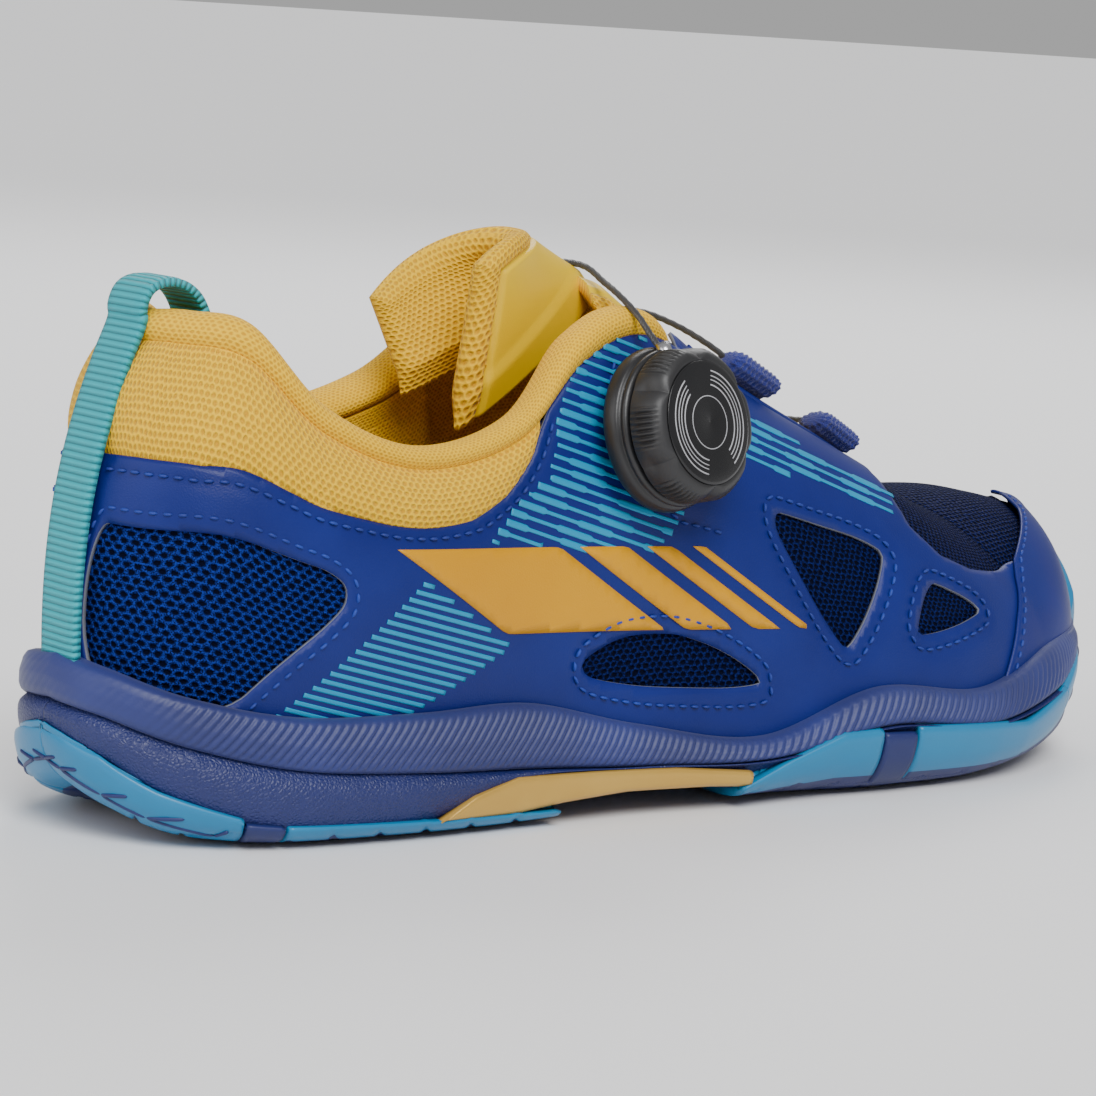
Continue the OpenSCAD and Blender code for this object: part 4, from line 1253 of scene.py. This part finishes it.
def footBed(name, node, mat, dHeel, dToe, z0, z1, crown=0.0):
    # a layer under the foot: rows across from side to side, its edge rounded over
    s = np.linspace(.02, 11.98, 160)
    d = np.interp(station(s), [0, 4, 5, 12], [dHeel, dHeel, dToe, dToe])
    a, b = (footLine(q) + outward(q) * d[:, None] for q in (s, 24 - s))
    t = (1 - np.cos(np.linspace(0, np.pi, 40))) / 2
    grid = a[:, None] + (b - a)[:, None] * t[None, :, None]
    rounded = np.minimum(1, 2.2 * np.sqrt(np.clip(np.minimum(t, 1 - t), 0, 1)))[None, :]
    bump = crown * np.sin(np.pi * t)[None, :]
    base = footLine(s)[:, 2][:, None]
    top, low = grid.copy(), grid.copy()
    mid, half = (z0 + z1) / 2, (z1 - z0) / 2
    top[..., 2] = base + mid + half * rounded - bump * .3
    low[..., 2] = base + mid - half * rounded
    piece = sheetGrid(name, top, low, [mat])
    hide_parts(node)
    return piece


board = footBed("insoleBoard", "insole_board", paint["board"], -6, -5, 0, 2)
insole = footBed("insole", "insole", paint["knitFine"], -7.2, -6.7, 2.3, 6.2, 1.5)
made += [board, insole]

# ---- tongue ----
tongue = {
    # middle and half width of the part under the cable: [distance from the heel, half width, height]
    "base": [[124, 12, 105.6], [141, 12, 95], [155, 13.5, 87.4], [172, 15, 77.6], [188, 15, 67],
             [203, 7, 56.5]],
    "thick": 6.0, "fold": 5.2, "baseFold": 3.5,
    # the hood runs on down below its foot line, most in the middle; its wings' corners are rounded
    "footRun": [-.42, -.3], "wingRound": .32,
}


def topSpot(u, h, d):
    # the hood: its middle leans back, its wings reach to the heel; d is the depth inwards
    k = (1 - np.cos(np.pi / 2 * u))[..., None]
    middle = np.stack([121 - 15 * h, 107 + 7 * h], -1)
    outerWing = np.stack([91 + 0 * h, 86 + 30 * h], -1)
    innerWing = np.stack([87 - 3 * h, 86 + 17 * h], -1)
    p = middle + (np.where((u < 0)[..., None], outerWing, innerWing) - middle) * k
    half = 11 + np.where(u < 0, 5, 8) * np.maximum(h, -.15)
    c, q = np.cos(np.pi / 2 * u), np.sin(np.pi / 2 * u)
    return np.stack([p[..., 0] - d * .45 * c, (half - d) * q, p[..., 1] - d * .9 * c], -1)


def gridRun(p, axis):
    # lengths along a grid's rows or columns, from its first one
    step = np.linalg.norm(np.diff(p, axis=axis), axis=-1)
    return np.cumsum(np.insert(step, 0, 0, axis=axis), axis=axis)


def pillow(spot, rows, cols, name, slots, thick, fold, rolled):
    # a closed pad: two faces that meet in a rolled edge, with a sewn channel beside it; rolled
    # says which of its four sides are, the others just taper under the next piece
    u, h = np.meshgrid(np.linspace(0, 1, rows), np.linspace(0, 1, cols), indexing="ij")
    mid = spot(u, h, thick / 2)
    ru, rh = gridRun(mid, 0), gridRun(mid, 1)
    gaps = [ru, ru[-1:] - ru, rh, rh[:, -1:] - rh]
    edge = np.min([g + (0 if on else 60) for g, on in zip(gaps, rolled)], axis=0)
    tip = np.min([g + (60 if on else 0) for g, on in zip(gaps, rolled)], axis=0)
    x = np.clip(edge / 3.0, 0, 1)
    half = thick / 2 * (.1 + .9 * np.sqrt(1 - (1 - x) ** 2)) * (.35 + .65 * np.clip(tip / 6, 0, 1))
    puff = .5 * np.sin(np.pi * np.clip(edge / 16, 0, .5))
    channel = 1.1 * np.exp(-((edge - fold) / .6) ** 2)
    outer = spot(u, h, thick / 2 - half - puff * .5 + channel)
    inner = spot(u, h, thick / 2 + half + puff * .5)
    faces = gridQuads(rows, cols)
    centre = edge.reshape(-1)[faces].mean(1)
    return shell(name, outer.reshape(-1, 3), inner.reshape(-1, 3), faces, trueLength(outer).reshape(-1, 2),
                 slots, faceSlot=(centre > fold).astype(int))


def hoodSpot(u, h, d):
    # the hood with its foot run on under the cable and its wings' top corners rounded
    w = 2 * u - 1
    foot = tongue["footRun"][0] + tongue["footRun"][1] * (1 - w * w)
    return topSpot(w, (foot + (1 - foot) * h) * (1 - tongue["wingRound"] * np.abs(w) ** 3 * h), d)


hood = pillow(hoodSpot, 150, 60, "tongueTop", [paint["knit"], paint["faceYellow"]], tongue["thick"],
              tongue["fold"], (True, True, False, True))
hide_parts("tongue_top")


def baseSpot(t, u, d):
    c = onRun(np.array(tongue["base"]), t * 5)
    w = 2 * u - 1
    return np.stack([c[..., 0] - w * w * 3, c[..., 1] * w, c[..., 2] - w * w * c[..., 1] ** 2 / 36 - d], -1)


apron = pillow(baseSpot, 110, 36, "tongueBase", [paint["knit"], paint["faceYellow"]],
               tongue["thick"], tongue["baseFold"],
               (False, True, True, True))
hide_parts("tongue_base")
print("tongue made")

# ---- lacing ----
lace = {
    "route": [[122.3, -31.4, 91.8], [122.2, -28, 94.6], [122.2, -23.5, 98.2],
              [122.8, -17, 101.4], [124.2, -11, 103.2], [125.2, -4, 105.6], [125.2, 4, 105.8],
              [126, 11, 104], [129, 15.5, 102.2], [133, 16.6, 99.8], [141, 15.9, 95.6],
              [145, 12, 94.9], [148, 4, 95.6], [151, -4, 93.6], [154, -12, 90],
              [158, -15, 86.4], [167, -14.1, 82], [169.5, -11.5, 81.3], [171, -4, 81],
              [172, 4, 80.8], [173, 10.5, 79.8], [175, 13.6, 79], [182, 13.2, 75.7],
              [184.3, 10.5, 74.4], [185, 4, 73.2], [185.8, -4, 73.2], [186.6, -9, 73.4],
              [188, -11, 72.8], [196, -9.6, 69], [198, -7, 68], [199, -1, 67.1],
              [199.8, 5, 67.3], [201.5, 8.8, 67.3], [207, 8.3, 65.2]],
    "diameter": 1.3, "lateral": [15, 27], "medial": [9, 21, 32],
    "guideWide": 8.5, "guideTall": 4.6, "extra": 3.0,
}


def tube(name, path, ringPoints, slots):
    # a closed tube along a path, its map in mm along and around
    x, y = ringPoints
    points, body, ends = tubeGrid(path, x, y)
    run = np.concatenate([[0], np.cumsum(np.linalg.norm(np.diff(path, axis=0), axis=1))])
    around = np.linspace(0, 1, x.shape[1], endpoint=False) * np.pi * 2 * np.abs(x).max()
    uv = np.stack(np.broadcast_arrays(run[:, None], around[None]), -1).reshape(-1, 2)
    return buildMesh(name, points, [body, ends], np.concatenate([uv, uv[[0, -1]]]), slots)


route = np.array(lace["route"])
path = densePath(onRun(route, np.linspace(0, len(route) - 1, 1500)), .45, False)
laceLength = np.linalg.norm(np.diff(path, axis=0), axis=1).sum()
turn = np.linspace(0, 2 * np.pi, 12, endpoint=False)
twist = np.arange(len(path))[:, None] * .45 * .9
radius = lace["diameter"] / 2 * (1 + .07 * np.cos(3 * (turn[None] + twist)))
cable = tube("laceCable", path, (radius * np.cos(turn), radius * np.sin(turn)), [paint["cable"]])
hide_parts("lace_cable")


def buildGuides(name, node, starts):
    # flattened braided sleeves: two crossing spirals raise and lower the surface
    parts = []
    for k, g in enumerate(starts):
        a, b = route[g], route[g + 1]
        d = (b - a) / np.linalg.norm(b - a)
        p = a - d * lace["extra"] + (b - a + 2 * d * lace["extra"]) * np.linspace(0, 1, 70)[:, None]
        s = np.linspace(0, 1, 70)[:, None]
        turn = np.linspace(0, 2 * np.pi, 48, endpoint=False)[None]
        braid = .42 * np.sin(6 * turn + s * 34) * np.sin(6 * turn - s * 34)
        close = (1 - .45 * np.abs(2 * s - 1) ** 8)
        rx = lace["guideWide"] / 2 * close + braid
        ry = lace["guideTall"] / 2 * close + braid
        rx, ry = np.broadcast_arrays(rx + 0 * turn, ry + 0 * turn)
        piece = tube(f"{name}{k + 1}", p, (rx * np.cos(turn), ry * np.sin(turn)), [paint["royal"]])
        if k == 0:
            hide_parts(node)
        parts.append(piece)
    return parts


made += [cable] + buildGuides("laceGuideLateral", "lace_guides_lateral", lace["lateral"])
made += buildGuides("laceGuideMedial", "lace_guides_medial", lace["medial"])
print("lacing made, cable length mm:", round(laceLength, 1))

# ---- dial ----
dial = {
    "at": [122.5, -32.4, 76], "yaw": 8, "tilt": 14, "lobes": 6,
    # printed arcs on the face as [radius, width], then where they start and how far they run
    "arcs": [[10.3, .3], [9.3, .22], [8.5, .22], [7.5, .3]], "arcStart": 2.2, "arcRun": 2.3,
    "ring": [5.2, .2], "outlet": [[122.3, -33.2, 90.2], [122.3, -32.6, 91.4], [122.3, -31.6, 92.9]],
    "outletRadius": 1.6,
    # profiles as [radius, height] from the middle of the base
    "base": [[14.2, 4.8], [15.2, 4.6], [15.6, 4.2], [15.6, 3.5], [15.2, 3.3], [15.2, 2.9], [15.9, 2.6],
             [16.2, 2.0], [16.4, .2], [16.2, -.6], [3, -.6], [3, 1.0], [10.5, 1.2], [10.4, 4.8]],
    "cover": [[12.0, 12.3], [12.3, 12.55], [11.6, 12.75], [6, 12.85], [.05, 12.9], [.05, 11.2],
              [12.0, 11.2]],
    "core": [[11.9, 5.3], [11.9, 11.1], [4.2, 11.1], [4.2, 6.6], [10.6, 6.6], [10.6, 5.3]],
    "crownRadius": [12.3, 3.2], "crownHeight": [7.4, 5.0], "crownPoints": 14,
}
cy, sy = np.cos(np.radians(dial["yaw"])), np.sin(np.radians(dial["yaw"]))
ct, st = np.cos(np.radians(90 - dial["tilt"])), np.sin(np.radians(90 - dial["tilt"]))
dialTurn = np.array([[cy, -sy * ct, sy * st], [sy, cy * ct, -cy * st], [0, st, ct]])


def onDial(p):
    return p @ dialTurn.T + np.array(dial["at"])


def turned(name, profile, slots, radius=None, segments=144):
    # a profile of [radius, height] turned round the dial's axis; radius may vary with the angle
    a = np.linspace(0, 2 * np.pi, segments, endpoint=False)[:, None]
    r, z = np.array(profile, float).T
    rr = np.broadcast_to(r, (segments, len(r))) if radius is None else radius(a, r[None], z[None])
    p = np.stack([rr * np.cos(a), rr * np.sin(a), np.broadcast_to(z, rr.shape)], -1)
    run = np.concatenate([[0], np.cumsum(np.hypot(np.diff(r), np.diff(z)))])
    uv = np.stack(np.broadcast_arrays(a * 14, run[None]), -1).reshape(-1, 2)
    faces = gridQuads(segments, len(r), closeRows=True, closeCols=True)[:, ::-1]
    piece = buildMesh(name, onDial(p.reshape(-1, 3)), faces, uv, slots)
    bevel = piece.modifiers.new("softEdge", "BEVEL")
    bevel.width, bevel.segments, bevel.limit_method, bevel.angle_limit = .0002, 2, "ANGLE", .6
    return piece


baseLook = turned("dialBase", dial["base"], [paint["dial"]])
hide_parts("dial_base")


def gripRadius(a, r, z):
    # six broad lobes with fine ribs on their crests, fading towards the face
    lobe = np.cos(dial["lobes"] / 2 * a)
    scallop = -1.1 * np.clip(1 - np.abs(lobe) * 1.5, 0, 1) ** 1.4
    crest = np.clip((np.abs(lobe) - .62) / .2, 0, 1)
    rib = .34 * crest * np.cos(a * dial["lobes"] * 14)
    weight = np.clip((r - 12.2) / 1.5, 0, 1)
    mid = np.clip((z - 5.6) / 1, 0, 1) * np.clip((11.6 - z) / 1.5, 0, 1)
    return r + weight * (scallop * np.clip((z - 5) / 3, .2, 1) + rib * mid)


# the grip's crown is a quarter of a rounded box
(r0, r1), (z0, z1) = dial["crownRadius"], dial["crownHeight"]
crown = [[r0 + r1 * np.cos(t) ** .8, z0 + z1 * np.sin(t)]
         for t in np.linspace(0, np.pi / 2, dial["crownPoints"])[:-1]]
grip = turned("dialGrip", [[14.6, 5.2], [15.4, 5.6]] + crown + [[12.4, 12.4], [12.0, 12.2], [12.0, 5.2]],
              [paint["grip"]], gripRadius, 720)
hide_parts("dial_grip", "dial_knob")
cover = turned("dialCover", dial["cover"], [paint["face"]])
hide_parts("dial_cover")
core = turned("dialKnobCore", dial["core"], [paint["dial"]])


def arcRibbon(r0, wide, a0, a1, lift=.07):
    # a thin raised line along an arc
    n = max(4, int(abs(a1 - a0) / .06))
    a = np.linspace(a0, a1, n)[:, None]
    r = r0 + wide * np.array([[-.5, -.4, .4, .5, 0]])
    z = 12.78 + .12 * (1 - r / 12) + lift * np.array([[0, 1, 1, 0, -1]])
    p = np.stack([r * np.cos(a), r * np.sin(a), z + 0 * a], -1)
    caps = np.array([[4, 3, 2, 1, 0], [5 * n - 5 + k for k in range(5)]])
    return p.reshape(-1, 3), gridQuads(n, 5, closeCols=True), caps


marks = []
for k in range(2):
    for r, w in dial["arcs"]:
        start = dial["arcStart"] + k * np.pi
        marks.append(arcRibbon(r, w, start + (dial["arcs"][0][0] - r) * .03, start + dial["arcRun"]))
marks.append(arcRibbon(*dial["ring"], 0, 2 * np.pi))
rings = joined("dialRings", [(onDial(p), *faces) for p, *faces in marks], [paint["ring"]])
circle = dial["outletRadius"] * np.stack([np.cos(turn), np.sin(turn)])
outlet = tube("dialOutlet", np.array(dial["outlet"]), np.repeat(circle[:, None], 3, 1), [paint["steel"]])
made += [baseLook, outlet]
# pieces hidden inside keep their CAD shape and only get a material
hidden = {"dial_post": "steel", "dial_spring": "steel", "dial_sleeve": "steel", "dial_spool": "spool",
          "cable_winding": "cable", "dial_ratchet": "spool", "heel_cushion": "cushion",
          "collar_foam": "cushion"}
for node, key in hidden.items():
    mesh = frame["nodes"][node].data
    mesh.materials.clear()
    mesh.materials.append(paint[key])
print("dial made")

for p in made:
    if p.parent is None:
        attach(p, "shoe")
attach(apron, "shoe")
for p in (grip, cover, core, rings):
    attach(p, "knob")
metres([124, .4, 104])
metres([113, .4, 110.5])
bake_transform(hood)

# ---- floor, lights, camera ----
reach = 60
mesh = bpy.data.meshes.new("floor")
mesh.from_pydata([(-reach, -reach, 0), (reach, -reach, 0), (reach, reach, 0), (-reach, reach, 0)],
                 [], [(0, 1, 2, 3)])
floor = bpy.data.objects.new("floor", mesh)
bpy.context.scene.collection.objects.link(floor)
pale = Finish("paleFloor", (.86, .86, .87), .6)
mesh.materials.append(pale.mat)

world = bpy.data.worlds.new("studio")
bpy.context.scene.world = world
world.use_nodes = True
sky = world.node_tree.nodes["Background"].inputs
sky[0].default_value, sky[1].default_value = (1, 1, 1, 1), .42


def areaLight(name, at, aim, size, power):
    light = bpy.data.lights.new(name, "AREA")
    light.size, light.energy = size, power
    piece = bpy.data.objects.new(name, light)
    piece.location = at
    piece.rotation_euler = (Vector(aim) - Vector(at)).to_track_quat("-Z", "Y").to_euler()
    bpy.context.scene.collection.objects.link(piece)


sun = bpy.data.lights.new("keyLight", "SUN")
sun.energy, sun.angle = 3.4, .6
key = bpy.data.objects.new("keyLight", sun)
key.rotation_euler = Vector((.5, 1.1, -1.3)).to_track_quat("-Z", "Y").to_euler()
bpy.context.scene.collection.objects.link(key)
areaLight("fillLight", (-1.4, .1, .7), (0, 0, .05), 1.0, 7)
areaLight("backLight", (.9, .9, 1.1), (0, 0, .04), .8, 10)

camera = {"azimuth": -41, "elevation": 8.375, "roll": 3.674, "distance": .73745,
          "aim": [123.609, 0, 47.535], "lens": 118.37}
az, el, roll = (np.radians(camera[k]) for k in ("azimuth", "elevation", "roll"))
back = np.array([np.sin(az) * np.cos(el), -np.cos(az) * np.cos(el), np.sin(el)])
right = np.array([np.cos(az), np.sin(az), 0])
up = np.cross(back, right)
right, up = right * np.cos(roll) + up * np.sin(roll), up * np.cos(roll) - right * np.sin(roll)
at = metres(camera["aim"]) + back * camera["distance"]
cam = bpy.data.objects.new("camera", bpy.data.cameras.new("camera"))
cam.data.lens, cam.data.sensor_width, cam.data.clip_start = camera["lens"], 36, .01
cam.matrix_world = Matrix([[*v, w] for v, w in zip(np.stack([right, up, back], 1), at)] + [[0, 0, 0, 1]])
bpy.context.scene.collection.objects.link(cam)
bpy.context.scene.camera = cam
